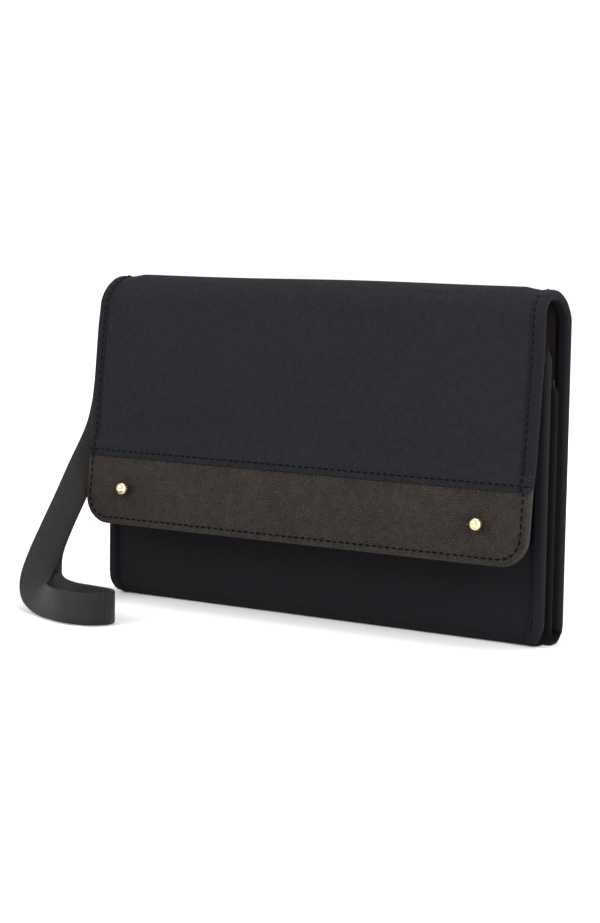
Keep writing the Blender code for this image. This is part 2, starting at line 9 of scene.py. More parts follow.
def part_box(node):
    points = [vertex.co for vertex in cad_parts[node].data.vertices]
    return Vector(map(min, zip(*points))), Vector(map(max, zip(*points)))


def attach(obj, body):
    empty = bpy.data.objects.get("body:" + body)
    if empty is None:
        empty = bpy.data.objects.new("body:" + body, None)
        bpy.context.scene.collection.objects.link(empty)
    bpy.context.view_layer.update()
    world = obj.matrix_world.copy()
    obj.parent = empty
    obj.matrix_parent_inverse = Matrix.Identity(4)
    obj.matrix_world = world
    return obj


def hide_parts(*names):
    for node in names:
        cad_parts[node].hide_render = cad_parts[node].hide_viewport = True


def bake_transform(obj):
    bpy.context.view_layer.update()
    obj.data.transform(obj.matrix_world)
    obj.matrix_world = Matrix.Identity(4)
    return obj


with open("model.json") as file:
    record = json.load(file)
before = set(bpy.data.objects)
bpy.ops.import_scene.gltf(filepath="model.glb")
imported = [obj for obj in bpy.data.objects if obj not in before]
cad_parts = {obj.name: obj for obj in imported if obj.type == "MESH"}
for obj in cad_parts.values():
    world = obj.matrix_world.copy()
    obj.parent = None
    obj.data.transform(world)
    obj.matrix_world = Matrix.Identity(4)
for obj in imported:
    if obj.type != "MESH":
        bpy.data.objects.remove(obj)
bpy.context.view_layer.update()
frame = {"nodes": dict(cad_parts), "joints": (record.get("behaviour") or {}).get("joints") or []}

# ======== the maker's table
# The wallet stands on a pale sweep under two large soft panels, and is seen from its
# right-hand front corner, from a little above its own height.
VIEW_TURN = math.radians(33.4)
VIEW_DROP = math.radians(6.4)
VIEW_ROLL = math.radians(0.9)
VIEW_DISTANCE = 0.824
AIM = Vector((0.0, -0.0107, 0.060))

toward = Vector((
    -math.sin(VIEW_TURN) * math.cos(VIEW_DROP),
    math.cos(VIEW_TURN) * math.cos(VIEW_DROP),
    -math.sin(VIEW_DROP),
))
camera_data = bpy.data.cameras.new("table_camera")
camera_data.lens = 83.8
camera_data.sensor_width = 36.0
camera_data.shift_x = 0.0022
camera_data.shift_y = 0.0078
camera = bpy.data.objects.new("table_camera", camera_data)
bpy.context.scene.collection.objects.link(camera)
camera.location = AIM - toward * VIEW_DISTANCE
camera.rotation_mode = "QUATERNION"
level = toward.to_track_quat("-Z", "Y").to_matrix()
camera.rotation_quaternion = (level @ Matrix.Rotation(VIEW_ROLL, 3, "Z")).to_quaternion()
bpy.context.scene.camera = camera
bpy.context.scene.view_settings.view_transform = "Standard"


def soft_light(name, place, aim, width, height, power):
    """A large diffuse panel that faces the wallet."""
    data = bpy.data.lights.new(name, "AREA")
    data.shape = "RECTANGLE"
    data.size = width
    data.size_y = height
    data.energy = power
    lamp = bpy.data.objects.new(name, data)
    bpy.context.scene.collection.objects.link(lamp)
    lamp.location = place
    lamp.rotation_mode = "QUATERNION"
    lamp.rotation_quaternion = (Vector(aim) - Vector(place)).to_track_quat("-Z", "Y")


soft_light("front_panel_light", (-0.55, -1.00, 0.85), (0, 0, 0.06), 0.9, 0.7, 11.0)
soft_light("right_strip_light", (1.05, -0.45, 0.50), (0, 0, 0.06), 0.35, 0.9, 11.0)
soft_light("top_panel_light", (0.05, 0.25, 1.15), (0, 0, 0.05), 1.1, 0.9, 8.0)

world = bpy.data.worlds.new("pale_room")
world.use_nodes = True
world.node_tree.nodes["Background"].inputs["Color"].default_value = (1.0, 1.0, 1.0, 1.0)
world.node_tree.nodes["Background"].inputs["Strength"].default_value = 1.05
bpy.context.scene.world = world


class Shade:
    """A material's node tree, with one call for any node and plain sums on its sockets."""

    def __init__(self, name):
        self.material = bpy.data.materials.new(name)
        self.material.use_nodes = True
        self.tree = self.material.node_tree
        self.surface = self.tree.nodes["Principled BSDF"]

    def node(self, kind, settings=None, **sockets):
        made = self.tree.nodes.new(kind)
        for key, value in (settings or {}).items():
            setattr(made, key, value)
        for key, value in sockets.items():
            self.feed(made, key.replace("_", " "), value)
        return made

    def feed(self, made, label, value):
        socket = made.inputs[int(label)] if label.isdigit() else made.inputs[label]
        if isinstance(value, Wire):
            self.tree.links.new(value.socket, socket)
        else:
            socket.default_value = value

    def sums(self, operation, *values):
        made = self.node("ShaderNodeMath", {"operation": operation})
        for index, value in enumerate(values):
            self.feed(made, str(index), value)
        return Wire(self, made.outputs[0])

    def ramp(self, fac, stops):
        made = self.node("ShaderNodeValToRGB")
        band = made.color_ramp
        while len(band.elements) < len(stops):
            band.elements.new(0.5)
        for element, (place, colour) in zip(band.elements, stops):
            element.position = place
            element.color = (*colour, 1.0)
        self.feed(made, "Fac", fac)
        return Wire(self, made.outputs["Color"])

    def mix(self, fac, low, high):
        made = self.node("ShaderNodeMix", {"data_type": "RGBA"})
        colours = [socket for socket in made.inputs if socket.type == "RGBA"]
        self.feed(made, "0", fac)
        for socket, value in zip(colours, (low, high)):
            if isinstance(value, Wire):
                self.tree.links.new(value.socket, socket)
            else:
                socket.default_value = (*value, 1.0)
        return Wire(self, next(out for out in made.outputs if out.type == "RGBA"))

    def noise(self, place, scale, detail=2.0, roughness=0.5):
        made = self.node(
            "ShaderNodeTexNoise", Vector=place, Scale=scale, Detail=detail, Roughness=roughness
        )
        return Wire(self, made.outputs[0])

    def bump(self, height, distance, strength):
        made = self.node("ShaderNodeBump", Height=height, Distance=distance, Strength=strength)
        return Wire(self, made.outputs["Normal"])

    def set(self, **sockets):
        for key, value in sockets.items():
            self.feed(self.surface, key.replace("_", " "), value)
        return self.material

    def flat(self):
        """Across and along the piece, in metres, from its own UV map."""
        place = Wire(self, self.node("ShaderNodeUVMap", {"uv_map": "UVMap"}).outputs[0])
        split = self.node("ShaderNodeSeparateXYZ", Vector=place)
        return place, Wire(self, split.outputs["X"]), Wire(self, split.outputs["Y"])

    def solid(self):
        """Object coordinates, in metres."""
        return Wire(self, self.node("ShaderNodeTexCoord").outputs["Object"])


class Wire:
    """A socket that can be added, multiplied and so on like a number."""

    def __init__(self, shade, socket):
        self.shade = shade
        self.socket = socket

    def __add__(self, other):
        return self.shade.sums("ADD", self, other)

    def __sub__(self, other):
        return self.shade.sums("SUBTRACT", self, other)

    def __mul__(self, other):
        return self.shade.sums("MULTIPLY", self, other)

    __radd__ = __add__
    __rmul__ = __mul__

    def wave(self):
        """0 to 1 and back, once for each whole step of the value."""
        return self.shade.sums("SINE", self * (2 * math.pi)) * 0.5 + 0.5


sweep = Shade("pale_sweep")
sweep_noise = sweep.noise(sweep.solid(), 3.0)
sweep_reach = sweep.node("ShaderNodeVectorMath", {"operation": "LENGTH"}, **{"0": sweep.solid()})
away = Wire(sweep, sweep_reach.outputs["Value"])
# Painted glow: the sweep emits light that rises with distance from the wallet, so the far floor reads
# pure white while the floor near the wallet keeps its soft contact shadow.
SWEEP = sweep.set(
    Base_Color=sweep.mix(sweep_noise, (0.78, 0.78, 0.78), (0.81, 0.81, 0.81)),
    Roughness=0.9,
    Emission_Color=sweep.ramp(away, ((0.20, (0.0, 0.0, 0.0)), (0.75, (0.34, 0.34, 0.34)))),
    Emission_Strength=1.0,
)
floor_mesh = bpy.data.meshes.new("floor")
floor_build = bmesh.new()
bmesh.ops.create_grid(floor_build, x_segments=8, y_segments=8, size=4.0)
floor_build.to_mesh(floor_mesh)
floor_build.free()
floor_mesh.materials.append(SWEEP)
floor = bpy.data.objects.new("floor", floor_mesh)
bpy.context.scene.collection.objects.link(floor)

# ======== wrist strap
# One length of flat ribbed webbing, both ends sewn into the back panel's left edge.  It
# hangs forward to the ground, stands there on its edge, turns and comes back.
STRAP_WIDTH = 0.0125
STRAP_THICKNESS = 0.0012
STRAP_ROUTE = (
    ((-101.2, 15.5, 100.0), (0.00, 0.00, -1.00)),
    ((-104.5, 15.3, 100.0), (0.00, 0.00, -1.00)),
    ((-108.5, 14.2, 96.5), (0.50, 0.25, -0.80)),
    ((-109.5, 11.5, 88.0), (0.75, 0.43, -0.50)),
    ((-108.2, 7.5, 77.0), (0.79, 0.46, -0.40)),
    ((-107.0, 1.3, 66.0), (0.79, 0.46, -0.40)),
    ((-107.0, -8.7, 52.9), (0.79, 0.46, -0.40)),
    ((-107.0, -17.7, 40.5), (0.79, 0.46, -0.40)),
    ((-106.5, -26.7, 29.6), (0.80, 0.48, -0.36)),
    ((-105.5, -35.2, 20.0), (0.82, 0.50, -0.28)),
    ((-103.0, -43.2, 12.4), (0.83, 0.54, -0.05)),
    ((-97.5, -50.7, 8.2), (0.68, 0.55, 0.48)),
    ((-88.5, -58.2, 6.7), (0.30, 0.30, 0.90)),
    ((-78.0, -64.7, 6.6), (0.05, 0.05, 1.00)),
    ((-67.0, -67.7, 6.6), (0.00, 0.00, 1.00)),
    ((-57.5, -65.7, 6.6), (0.00, 0.00, 1.00)),
    ((-53.0, -59.2, 6.6), (0.00, 0.00, 1.00)),
    ((-57.0, -52.7, 6.6), (0.00, 0.00, 1.00)),
    ((-68.0, -50.7, 6.6), (0.00, 0.00, 1.00)),
    ((-79.0, -49.2, 6.6), (0.05, 0.05, 1.00)),
    ((-90.0, -45.2, 7.2), (0.30, 0.30, 0.90)),
    ((-99.5, -39.7, 9.5), (0.68, 0.55, 0.48)),
    ((-107.0, -32.2, 13.8), (0.83, 0.54, -0.05)),
    ((-109.6, -27.7, 20.5), (0.82, 0.50, -0.28)),
    ((-110.8, -20.2, 30.0), (0.80, 0.48, -0.36)),
    ((-111.0, -11.7, 41.0), (0.79, 0.46, -0.40)),
    ((-111.0, -2.7, 53.5), (0.79, 0.46, -0.40)),
    ((-111.0, 6.8, 66.5), (0.79, 0.46, -0.40)),
    ((-112.2, 14.3, 79.0), (0.79, 0.46, -0.40)),
    ((-112.5, 17.6, 89.0), (0.75, 0.43, -0.50)),
    ((-109.8, 18.6, 96.8), (0.50, 0.25, -0.80)),
    ((-104.8, 18.2, 100.0), (0.00, 0.00, -1.00)),
    ((-101.2, 17.9, 100.0), (0.00, 0.00, -1.00)),
)


def smooth(before, start, end, after, share):
    """A point on the smooth curve through four neighbours, between the middle two."""
    square = share * share
    cube = square * share
    return 0.5 * (
        2 * start
        + (end - before) * share
        + (2 * before - 5 * start + 4 * end - after) * square
        + (3 * start - before - 3 * end + after) * cube
    )


def stations(route, steps):
    """Centres and across-directions along a smooth route given in millimetres."""
    rows = [(Vector(centre) / 1000, Vector(across)) for centre, across in route]
    found = []
    for index in range(len(rows) - 1):
        near = [rows[min(max(index + k, 0), len(rows) - 1)] for k in (-1, 0, 1, 2)]
        for step in range(steps):
            share = step / steps
            found.append(tuple(smooth(*(row[k] for row in near), share) for k in (0, 1)))
    found.append(rows[-1])
    return found


def link(name, mesh, finish):
    """A finished mesh as a smooth object, with its material."""
    mesh.materials.append(finish)
    mesh.shade_smooth()
    made = bpy.data.objects.new(name, mesh)
    bpy.context.scene.collection.objects.link(made)
    return made


def built(name, points, faces, finish, uvs=()):
    """An object from points and faces, its normals turned outwards, with a UV for each point."""
    mesh = bpy.data.meshes.new(name)
    mesh.from_pydata([tuple(p) for p in points], [], faces)
    if uvs:
        uv_layer = mesh.uv_layers.new(name="UVMap")
        for corner in mesh.loops:
            uv_layer.data[corner.index].uv = uvs[corner.vertex_index]
    turner = bmesh.new()
    turner.from_mesh(mesh)
    bmesh.ops.recalc_face_normals(turner, faces=turner.faces)
    turner.to_mesh(mesh)
    turner.free()
    return link(name, mesh, finish)


def tube(name, rings, uvs, finish):
    """A closed skin over rings of points, with a UV for each point."""
    count = len(rings[0])
    faces = []
    for i in range(len(rings) - 1):
        for k in range(count):
            m = (k + 1) % count
            faces.append((i * count + k, i * count + m, (i + 1) * count + m, (i + 1) * count + k))
    last = (len(rings) - 1) * count
    faces += [tuple(range(count)), tuple(range(last + count - 1, last - 1, -1))]
    points = [place for ring in rings for place in ring]
    return built(name, points, faces, finish, [uv for ring in uvs for uv in ring])


def stand_in(piece, slot, *nodes):
    """Hide the CAD nodes that a piece takes the place of; the piece and its slot are not used."""
    if nodes:
        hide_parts(*nodes)


def put(piece, body, slot, *nodes):
    """Set a stiff piece on its body."""
    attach(piece, body)
    stand_in(piece, slot, *nodes)


def tape_section(width, thickness):
    """A flat tape's outline with rounded edges, as across and through offsets."""
    half, depth = width / 2 - thickness / 2, thickness / 2
    section = []
    for index in range(5):
        angle = -math.pi / 2 + math.pi * index / 4
        section.append((half + depth * math.cos(angle), depth * math.sin(angle)))
    section += [(half * share, depth) for share in (0.5, 0.0, -0.5)]
    for index in range(5):
        angle = math.pi / 2 + math.pi * index / 4
        section.append((-half + depth * math.cos(angle), depth * math.sin(angle)))
    section += [(half * share, -depth) for share in (-0.5, 0.0, 0.5)]
    return section


strap_rows = stations(STRAP_ROUTE, 6)
strap_rings, strap_uvs = [], []
strap_length = 0.0
for index, (centre, across) in enumerate(strap_rows):
    ahead = strap_rows[min(index + 1, len(strap_rows) - 1)][0]
    behind = strap_rows[max(index - 1, 0)][0]
    if index:
        strap_length += (centre - strap_rows[index - 1][0]).length
    forward = (ahead - behind).normalized()
    across = (across - forward * across.dot(forward)).normalized()
    through = forward.cross(across)
    section = tape_section(STRAP_WIDTH, STRAP_THICKNESS)
    strap_rings.append([centre + across * a + through * b for a, b in section])
    strap_uvs.append([(a, strap_length) for a, b in section])

weave = Shade("ribbed_webbing")
place, across_it, along_it = weave.flat()
ribs = (along_it * (1 / 0.00085)).wave()
yarns = (across_it * (1 / 0.0006) + along_it * (0.5 / 0.00085)).wave()
fuzz = weave.noise(place, 900.0, 3.0)
height = ribs * 0.8 + yarns * 0.25 + fuzz * 0.2
# Painted sheen and shade: the rib crowns are coloured light and the grooves near-black, standing in for
# how light falls across the ribs; the fuzz is the yarn's own uneven tone.
tone = weave.mix(ribs * 0.6 + fuzz * 0.4, (0.0004, 0.0003, 0.0003), (0.0150, 0.0126, 0.0116))
WEBBING = weave.set(
    Base_Color=tone,
    Roughness=0.40 + fuzz * 0.12,
    Normal=weave.bump(height, 0.00035, 1.0),
    Specular_IOR_Level=0.24,
)
strap = tube("wrist_strap_webbing", strap_rings, strap_uvs, WEBBING)
put(strap, "back", "webbing", "wrist_strap")

# ======== the folded covering
# Every layer follows one line round the wallet: under the base, up the back, over the
# top in a half round, and down the flap.  A second line runs forward and up the front.
joints = {joint["name"]: joint for joint in frame["joints"]}
BACK_MID = joints["top_fold_hinge_1"]["pos_m"][1]
FRONT_MID = joints["front_panel_hinge"]["pos_m"][1]
PANEL_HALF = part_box("back_outer_cloth")[1].y - BACK_MID
TURN = math.radians(joints["top_fold_hinge_1"]["range_deg"][1])
FLARE = math.pi - 4 * TURN
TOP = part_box("top_fold_2")[1].z
HALF_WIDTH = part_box("bottom_fold")[1].x
FLAP_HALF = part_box("flap_binding_right")[1].x
BASE_ROUND = 0.0062
CLOTH = 0.0007
LINING = 0.0005
RIPPLE = 0.0002
# How far the cut edges of cloth, lining and board stay in from the panels' sides.
CLOTH_IN = 0.0004
LINING_IN = 0.0024
BOARD_IN = 0.0055

back_face = BACK_MID + PANEL_HALF
front_face = FRONT_MID - PANEL_HALF
base_middle = (back_face + front_face) / 2
_, flap_y, flap_z = joints["top_fold_hinge_4"]["pos_m"]
flap_way = Vector((-math.sin(FLARE), -math.cos(FLARE)))
flap_out = Vector((-math.cos(FLARE), math.sin(FLARE)))
LINING_DEPTH = 2 * PANEL_HALF - LINING
# Radius of the half round that touches the back, the top and the flap.
TOP_ROUND = (
    PANEL_HALF + math.cos(FLARE) * (back_face - flap_y) - math.sin(FLARE) * (TOP - flap_z)
) / (1 + math.cos(FLARE) - math.sin(FLARE))
top_centre = Vector((back_face - TOP_ROUND, TOP - TOP_ROUND))


def line(start, way, length, out):
    """A straight stretch of a fold line."""
    return ("line", Vector(start), Vector(way), length, Vector(out))


def arc(centre, radius, first, sweep_angle):
    """A round stretch: its outward direction turns from first by sweep_angle."""
    return ("arc", Vector(centre), radius, radius * abs(sweep_angle), (first, sweep_angle))


quarter = math.pi / 2
OVER = [
    line((base_middle, 0), (1, 0), back_face - BASE_ROUND - base_middle, (0, -1)),
    arc((back_face - BASE_ROUND, BASE_ROUND), BASE_ROUND, -quarter, quarter),
    line((back_face, BASE_ROUND), (0, 1), top_centre.y - BASE_ROUND, (1, 0)),
    arc(top_centre, TOP_ROUND, 0.0, 4 * TURN),
    line(top_centre + flap_out * TOP_ROUND, flap_way, 0.2, flap_out),
]
FRONT = [
    line((base_middle, 0), (-1, 0), base_middle - front_face - BASE_ROUND, (0, -1)),
    arc((front_face + BASE_ROUND, BASE_ROUND), BASE_ROUND, -quarter, -quarter),
    line((front_face, BASE_ROUND), (0, 1), 0.2, (-1, 0)),
]


def starts(route):
    """Distance along the route at which each of its stretches begins."""
    total, found = 0.0, []
    for stretch in route:
        found.append(total)
        total += stretch[3]
    return found


OVER_AT, FRONT_AT = starts(OVER), starts(FRONT)
BACK_START, ARC_START, FLAP_START = OVER_AT[2], OVER_AT[3], OVER_AT[4]
CUTS = [ARC_START + TOP_ROUND * TURN * step for step in (1, 2, 3)]
flap_edge_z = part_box("flap_leather_band")[0].z
FLAP_END = FLAP_START + (OVER[4][1].y - flap_edge_z) / math.cos(FLARE)
SEAM = FLAP_START + (OVER[4][1].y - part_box("flap_leather_band")[1].z) / math.cos(FLARE)
FRONT_RISE = FRONT_AT[2]
FRONT_END = FRONT_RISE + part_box("front_binding_top")[1].z - BASE_ROUND

stud_x = (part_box("snap_cap_right")[0].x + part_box("snap_cap_right")[1].x) / 2
stud_low, stud_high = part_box("snap_socket_right")
stud_middle = (stud_low + stud_high) / 2
stud_drop = Vector((stud_middle.y, stud_middle.z)) - OVER[4][1]
STUD_S = FLAP_START + stud_drop.dot(flap_way)


def trace(route, begins, s):
    """Point and outward direction on a route at distance s."""
    index = max(k for k, begin in enumerate(begins) if s >= begin - 1e-9)
    kind, origin, third, length, fifth = route[index]
    travelled = s - begins[index]
    if kind == "line":
        return origin + third * travelled, fifth
    first, sweep_angle = fifth
    angle = first + sweep_angle * travelled / length
    out = Vector((math.cos(angle), math.sin(angle)))
    return origin + out * third, out


def bell(x, s, width):
    """1 at a stud and 0 away from it."""
    near = ((abs(x) - stud_x) ** 2 + (s - STUD_S) ** 2) / (2 * width * width)
    return math.exp(-near)


def over_puff(x, s):
    """How far the soft layers stand out from the flat on the back, top and flap."""
    edge = max(0.0, 1 - (x / HALF_WIDTH) ** 2)
    ripple = math.sin(31 * x + 0.7) * math.sin(43 * s + 1.1) + 0.6 * math.sin(57 * x - 38 * s)
    ripple *= RIPPLE
    if s < BACK_START:
        return 0.0
    if s < ARC_START:
        up = (s - BACK_START) / (ARC_START - BACK_START)
        return edge * math.sin(math.pi * up) * 0.0006 + ripple * math.sin(math.pi * up)
    if s < FLAP_START:
        turn = (s - ARC_START) / (FLAP_START - ARC_START)
        return ripple * math.sin(math.pi * turn)
    down = (s - FLAP_START) / (FLAP_END - FLAP_START)
    dent = bell(x, s, 0.006)
    swell = 0.0010 * edge * math.sin(math.pi * min(1.0, down * 0.94)) + ripple * min(1, 4 * down)
    return swell * (1 - dent) - 0.0009 * bell(x, s, 0.0038) + 0.0003 * bell(x, s, 0.010)


def front_puff(x, s):
    """The same for the front panel."""
    if s < FRONT_RISE:
        return 0.0
    up = (s - FRONT_RISE) / (FRONT_END - FRONT_RISE)
    edge = max(0.0, 1 - (x / HALF_WIDTH) ** 2)
    ripple = math.sin(29 * x + 2.1) * math.sin(61 * s) + 0.5 * math.sin(73 * x + 20 * s)
    return (0.0007 * edge + 0.00012 * ripple) * math.sin(math.pi * min(1.0, up * 0.97))


def fade(depth):
    """The outer cloth puffs out and the lining stays flat."""
    return min(1.0, max(0.0, 1 - depth / LINING_DEPTH))


def sag(x, s):
    """The top fold gives way a little at both ends."""
    turn = (s - ARC_START) / (FLAP_START - ARC_START)
    if not 0 < turn < 1:
        return 0.0
    near_end = min(1.0, max(0.0, (abs(x) - HALF_WIDTH + 0.014) / 0.009))
    return 0.0013 * near_end * near_end * (3 - 2 * near_end) * math.sin(math.pi * turn)


def on_over(x, s, depth=0.0):
    """A point of the back, top or flap, depth below its outer face."""
    place, out = trace(OVER, OVER_AT, s)
    level = place + out * (over_puff(x, s) * fade(depth) - depth - sag(x, s))
    return Vector((x, level.x, level.y))


def on_front(x, s, depth=0.0):
    """A point of the base or front panel, depth below its outer face."""
    place, out = trace(FRONT, FRONT_AT, s)
    level = place + out * (front_puff(x, s) * fade(depth) - depth)
    return Vector((x, level.x, level.y))


def front_reach(s):
    """Half width of the front panel, drawn in where it turns under at the ground."""
    near = min(1.0, max(0.0, (FRONT_RISE + 0.004 - s) / 0.010))
    return HALF_WIDTH - 0.0030 * near * near


def over_reach(s):
    """Half width of the back, top and flap: drawn in over the fold, wider at the flap."""
    share = min(1.0, max(0.0, (s - CUTS[2]) / 0.02))
    turn = min(1.0, max(0.0, (s - ARC_START) / (FLAP_START - ARC_START)))
    return HALF_WIDTH + (FLAP_HALF - HALF_WIDTH) * share - 0.0008 * math.sin(math.pi * turn)


def spaced(low, high, step):
    """Even values from low to high, no further apart than step."""
    count = max(1, math.ceil((high - low) / step - 1e-6))
    return [low + (high - low) * k / count for k in range(count + 1)]


def chain(start, *stretches):
    """Even values on from start, each stretch given by its end and step."""
    values = [start]
    for end, step in stretches:
        values += spaced(values[-1], end, step)[1:]
    return values


def with_rims(values, rim):
    """The same values with one more close to each end, so the rim stays crisp."""
    low, high = values[0], values[-1]
    return [low, low + rim, *values[1:-1], high - rim, high]


def layer(
    name, surface, rows, half_width, depth, thickness, finish, column=0.004, lift=None, rim=0.42
):
    """A cloth layer with rounded rims: a grid on its outer face, one on its inner face."""
    shares = with_rims(spaced(-1.0, 1.0, column / 0.1), 0.004)
    outer, inner, uvs = [], [], []
    for s in rows:
        reach = half_width(s) if callable(half_width) else half_width
        raised = lift(s) if lift else 0.0
        outer.append([surface(t * reach, s, depth - raised) for t in shares])
        inner.append([surface(t * reach, s, depth + thickness - raised) for t in shares])
        uvs.append([(t * reach, s) for t in shares])
    ns, nx = len(rows), len(shares)
    points = [p for row in outer for p in row] + [p for row in inner for p in row]
    flat = [uv for row in uvs for uv in row] * 2
    under = ns * nx
    faces = []
    for i in range(ns - 1):
        for k in range(nx - 1):
            a, b, c, d = i * nx + k, i * nx + k + 1, (i + 1) * nx + k + 1, (i + 1) * nx + k
            faces.append((a, b, c, d))
            faces.append((under + d, under + c, under + b, under + a))
    loop = list(range(nx))
    loop += [i * nx + nx - 1 for i in range(1, ns)]
    loop += [(ns - 1) * nx + k for k in range(nx - 2, -1, -1)]
    loop += [i * nx for i in range(ns - 2, 0, -1)]
    rim_start = len(points)
    for index in loop:
        i, k = divmod(index, nx)
        inside = min(max(i, 1), ns - 2) * nx + min(max(k, 1), nx - 2)
        away = (points[index] - points[inside]).normalized()
        points.append((points[index] + points[index + under]) / 2 + away * thickness * rim)
        flat.append(flat[index])
    for j, index in enumerate(loop):
        following = (j + 1) % len(loop)
        after = loop[following]
        faces.append((after, index, rim_start + j, rim_start + following))
        faces.append((rim_start + following, rim_start + j, index + under, after + under))
    return built(name, points, faces, finish, flat)


FOLD_BODIES = ("back", "top_strip_1", "top_strip_2", "top_strip_3", "flap")
FOLD_ENDS = [ARC_START, *CUTS, FLAP_START]


def across_top(piece, number, slot, *nodes):
    """Bake a piece that crosses one of the four top hinges into place; it is cut at the strips'
    middles.
    """
    ends = [trace(OVER, OVER_AT, FOLD_ENDS[k]) for k in (number, number + 1)]
    start, end = [place - out * PANEL_HALF for place, out in ends]
    margin = (end - start) * 0.08
    start, end = start + margin, end - margin
    near, far = FOLD_BODIES[number : number + 2]
    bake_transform(piece)
    stand_in(piece, slot, *nodes)


def across_base(piece, slot, *nodes):
    """Bake a piece that crosses the front panel's hinge into place."""
    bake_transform(piece)
    stand_in(piece, slot, *nodes)


# ======== outer cloth
# Navy twill covers the back, the top and the flap down to the leather band.  It is cut
# here at the middle of each strip of the top fold, where it never bends.


def twill(name, dark, light, pitch, relief=0.00016, shine=0.13):
    """Diagonal twill: fine slanting ribs, each broken into short yarn floats, with painted shade in
    their grooves.
    """
    cloth = Shade(name)
    place, u, v = cloth.flat()
    run = (u + v) * (0.7071 / pitch)
    rib = run.wave()
    floats = (u * (1 / 0.00052) - v * (0.35 / 0.00052)).wave()
    slub = cloth.noise(place, 420.0, 3.0)
    cloud = cloth.noise(place, 22.0, 2.0)
    # Painted shade: the troughs of the ribs and floats are coloured near-black and their crowns light,
    # standing in for the weave's light and shade; the slub is the yarn's own uneven tone.
    tone = cloth.mix(rib * 0.48 + floats * 0.30 + slub * 0.42 - 0.12, dark, light)
    tone = cloth.mix(cloud * 0.2, tone, light)
    return cloth.set(
        Base_Color=tone,
        Roughness=0.66 + slub * 0.2,
        Normal=cloth.bump(rib * 0.75 + floats * 0.25 + slub * 0.25, relief, 0.85),
        Specular_IOR_Level=shine,
    )


TWILL = twill("navy_twill", (0.0002, 0.0002, 0.0004), (0.0255, 0.0255, 0.0305), 0.00102, 0.0005, 0.04)
# Painted shade: a finer, darker copy of the twill for the front panel and coin pocket; the cloth is
# near-black, and its colour is darkened further as painted shade from the flap.
SHADE_TWILL = twill("black_plain_cloth", (0.0012, 0.0012, 0.0022), (0.0058, 0.0056, 0.0082), 0.0007)

SEAM_LIFT = 0.0008


def seam_lift(s):
    """The twill's folded lower edge rides up over the leather."""
    climb = min(1.0, max(0.0, (s - (SEAM - 0.009)) / 0.006))
    return SEAM_LIFT * climb * climb * (3 - 2 * climb)


outer_rows = [
    chain(0.0, (OVER_AT[1], 0.003), (BACK_START, 0.0012), (ARC_START, 0.004), (CUTS[0], 0.0012)),
    spaced(CUTS[0], CUTS[1], 0.0011),
    spaced(CUTS[1], CUTS[2], 0.0011),
    chain(CUTS[2], (FLAP_START, 0.0011), (SEAM - 0.009, 0.003), (SEAM + 0.0008, 0.0008)),
]
outer_names = ("back_twill", "top_twill_rear", "top_twill_front", "flap_twill_cloth")
outer_nodes = (
    ("back_outer_cloth", "top_fold_1"),
    ("top_fold_2",),
    ("top_fold_3",),
    ("flap_twill",),
)
for number, rows in enumerate(outer_rows):
    lift = seam_lift if number == 3 else None
    piece = layer(
        outer_names[number], on_over, rows, lambda s: over_reach(s) - CLOTH_IN,
        0.0, CLOTH, TWILL, lift=lift,
    )
    across_top(piece, number, "twill", *outer_nodes[number])

# ======== leather band
# A strip of smooth leather closes the flap's lower edge.  Its sides and lower edge are
# turned under, so they are full and round, and it dips where the two studs pull it in.
CORNER = 0.011
BAND_BACK = 2 * PANEL_HALF + 0.0003
BAND_FACE = -0.0004
band_top = SEAM - 0.006


def band_half(s):
    """Half width of the band, drawn in round the lower corners."""
    reach = FLAP_HALF + 0.0002
    into = s - (FLAP_END - CORNER)
    if into <= 0:
        return reach
    return reach - CORNER + math.sqrt(max(CORNER**2 - into**2, 0.0))


def skin(name, dark, light, grain=0.0008):
    """Fine-grained leather: small pebbles, faint creases and a soft uneven shine."""
    hide = Shade(name)
    place = hide.solid()
    cells = hide.node(
        "ShaderNodeTexVoronoi", {"feature": "DISTANCE_TO_EDGE"}, Vector=place, Scale=1 / grain
    )
    pebbles = hide.sums("MINIMUM", Wire(hide, cells.outputs["Distance"]) * 3.0, 1.0)
    crease = hide.noise(place, 260.0, 4.0, 0.6)
    broad = hide.noise(place, 34.0, 2.0)
    tone = hide.mix(broad * 0.40 + crease * 0.80 + pebbles * 0.24 - 0.34, dark, light)
    return hide.set(
        Base_Color=tone,
        Roughness=0.36 + crease * 0.2 + broad * 0.08,
        Normal=hide.bump(pebbles * 0.8 + crease * 0.8, 0.0005, 0.9),
        Specular_IOR_Level=0.20,
    )


LEATHER = skin("band_leather", (0.0010, 0.0007, 0.0005), (0.0420, 0.0290, 0.0235))

band_rows = [
    *spaced(band_top, FLAP_END - CORNER, 0.0016),
    *[FLAP_END - CORNER + CORNER * math.sin(quarter * k / 14) for k in range(1, 14)],
    FLAP_END - 0.00002,
]


def turned_edge(name, path, radius_out, radius_in, finish):
    """A full round edge swept along (place, outward, normal) stations."""
    rings, uvs, run = [], [], 0.0
    for index, (place, away, out) in enumerate(path):
        if index:
            run += (place - path[index - 1][0]).length
        ring, row = [], []
        for k in range(9):
            angle = quarter - math.pi * k / 8
            ring.append(place + away * radius_out * math.cos(angle) + out * radius_in * math.sin(angle))
            row.append((radius_in * math.pi * k / 8, run))
        for share in (0.5, 0.0, -0.5):
            ring.append(place - away * 0.0009 + out * radius_in * 0.96 * share)
            row.append((0.0, run))
        rings.append(ring)
        uvs.append(row)
    return tube(name, rings, uvs, finish)


band = layer(
    "leather_band",
    on_over,
    band_rows,
    lambda s: band_half(s) - 0.0012,
    BAND_FACE,
    BAND_BACK - BAND_FACE,
    LEATHER,
    column=0.0022,
    rim=0.0,
)
put(band, "flap", "leather", "flap_leather_band")

middle_depth = (BAND_FACE + BAND_BACK) / 2
band_thick = (BAND_BACK - BAND_FACE) / 2


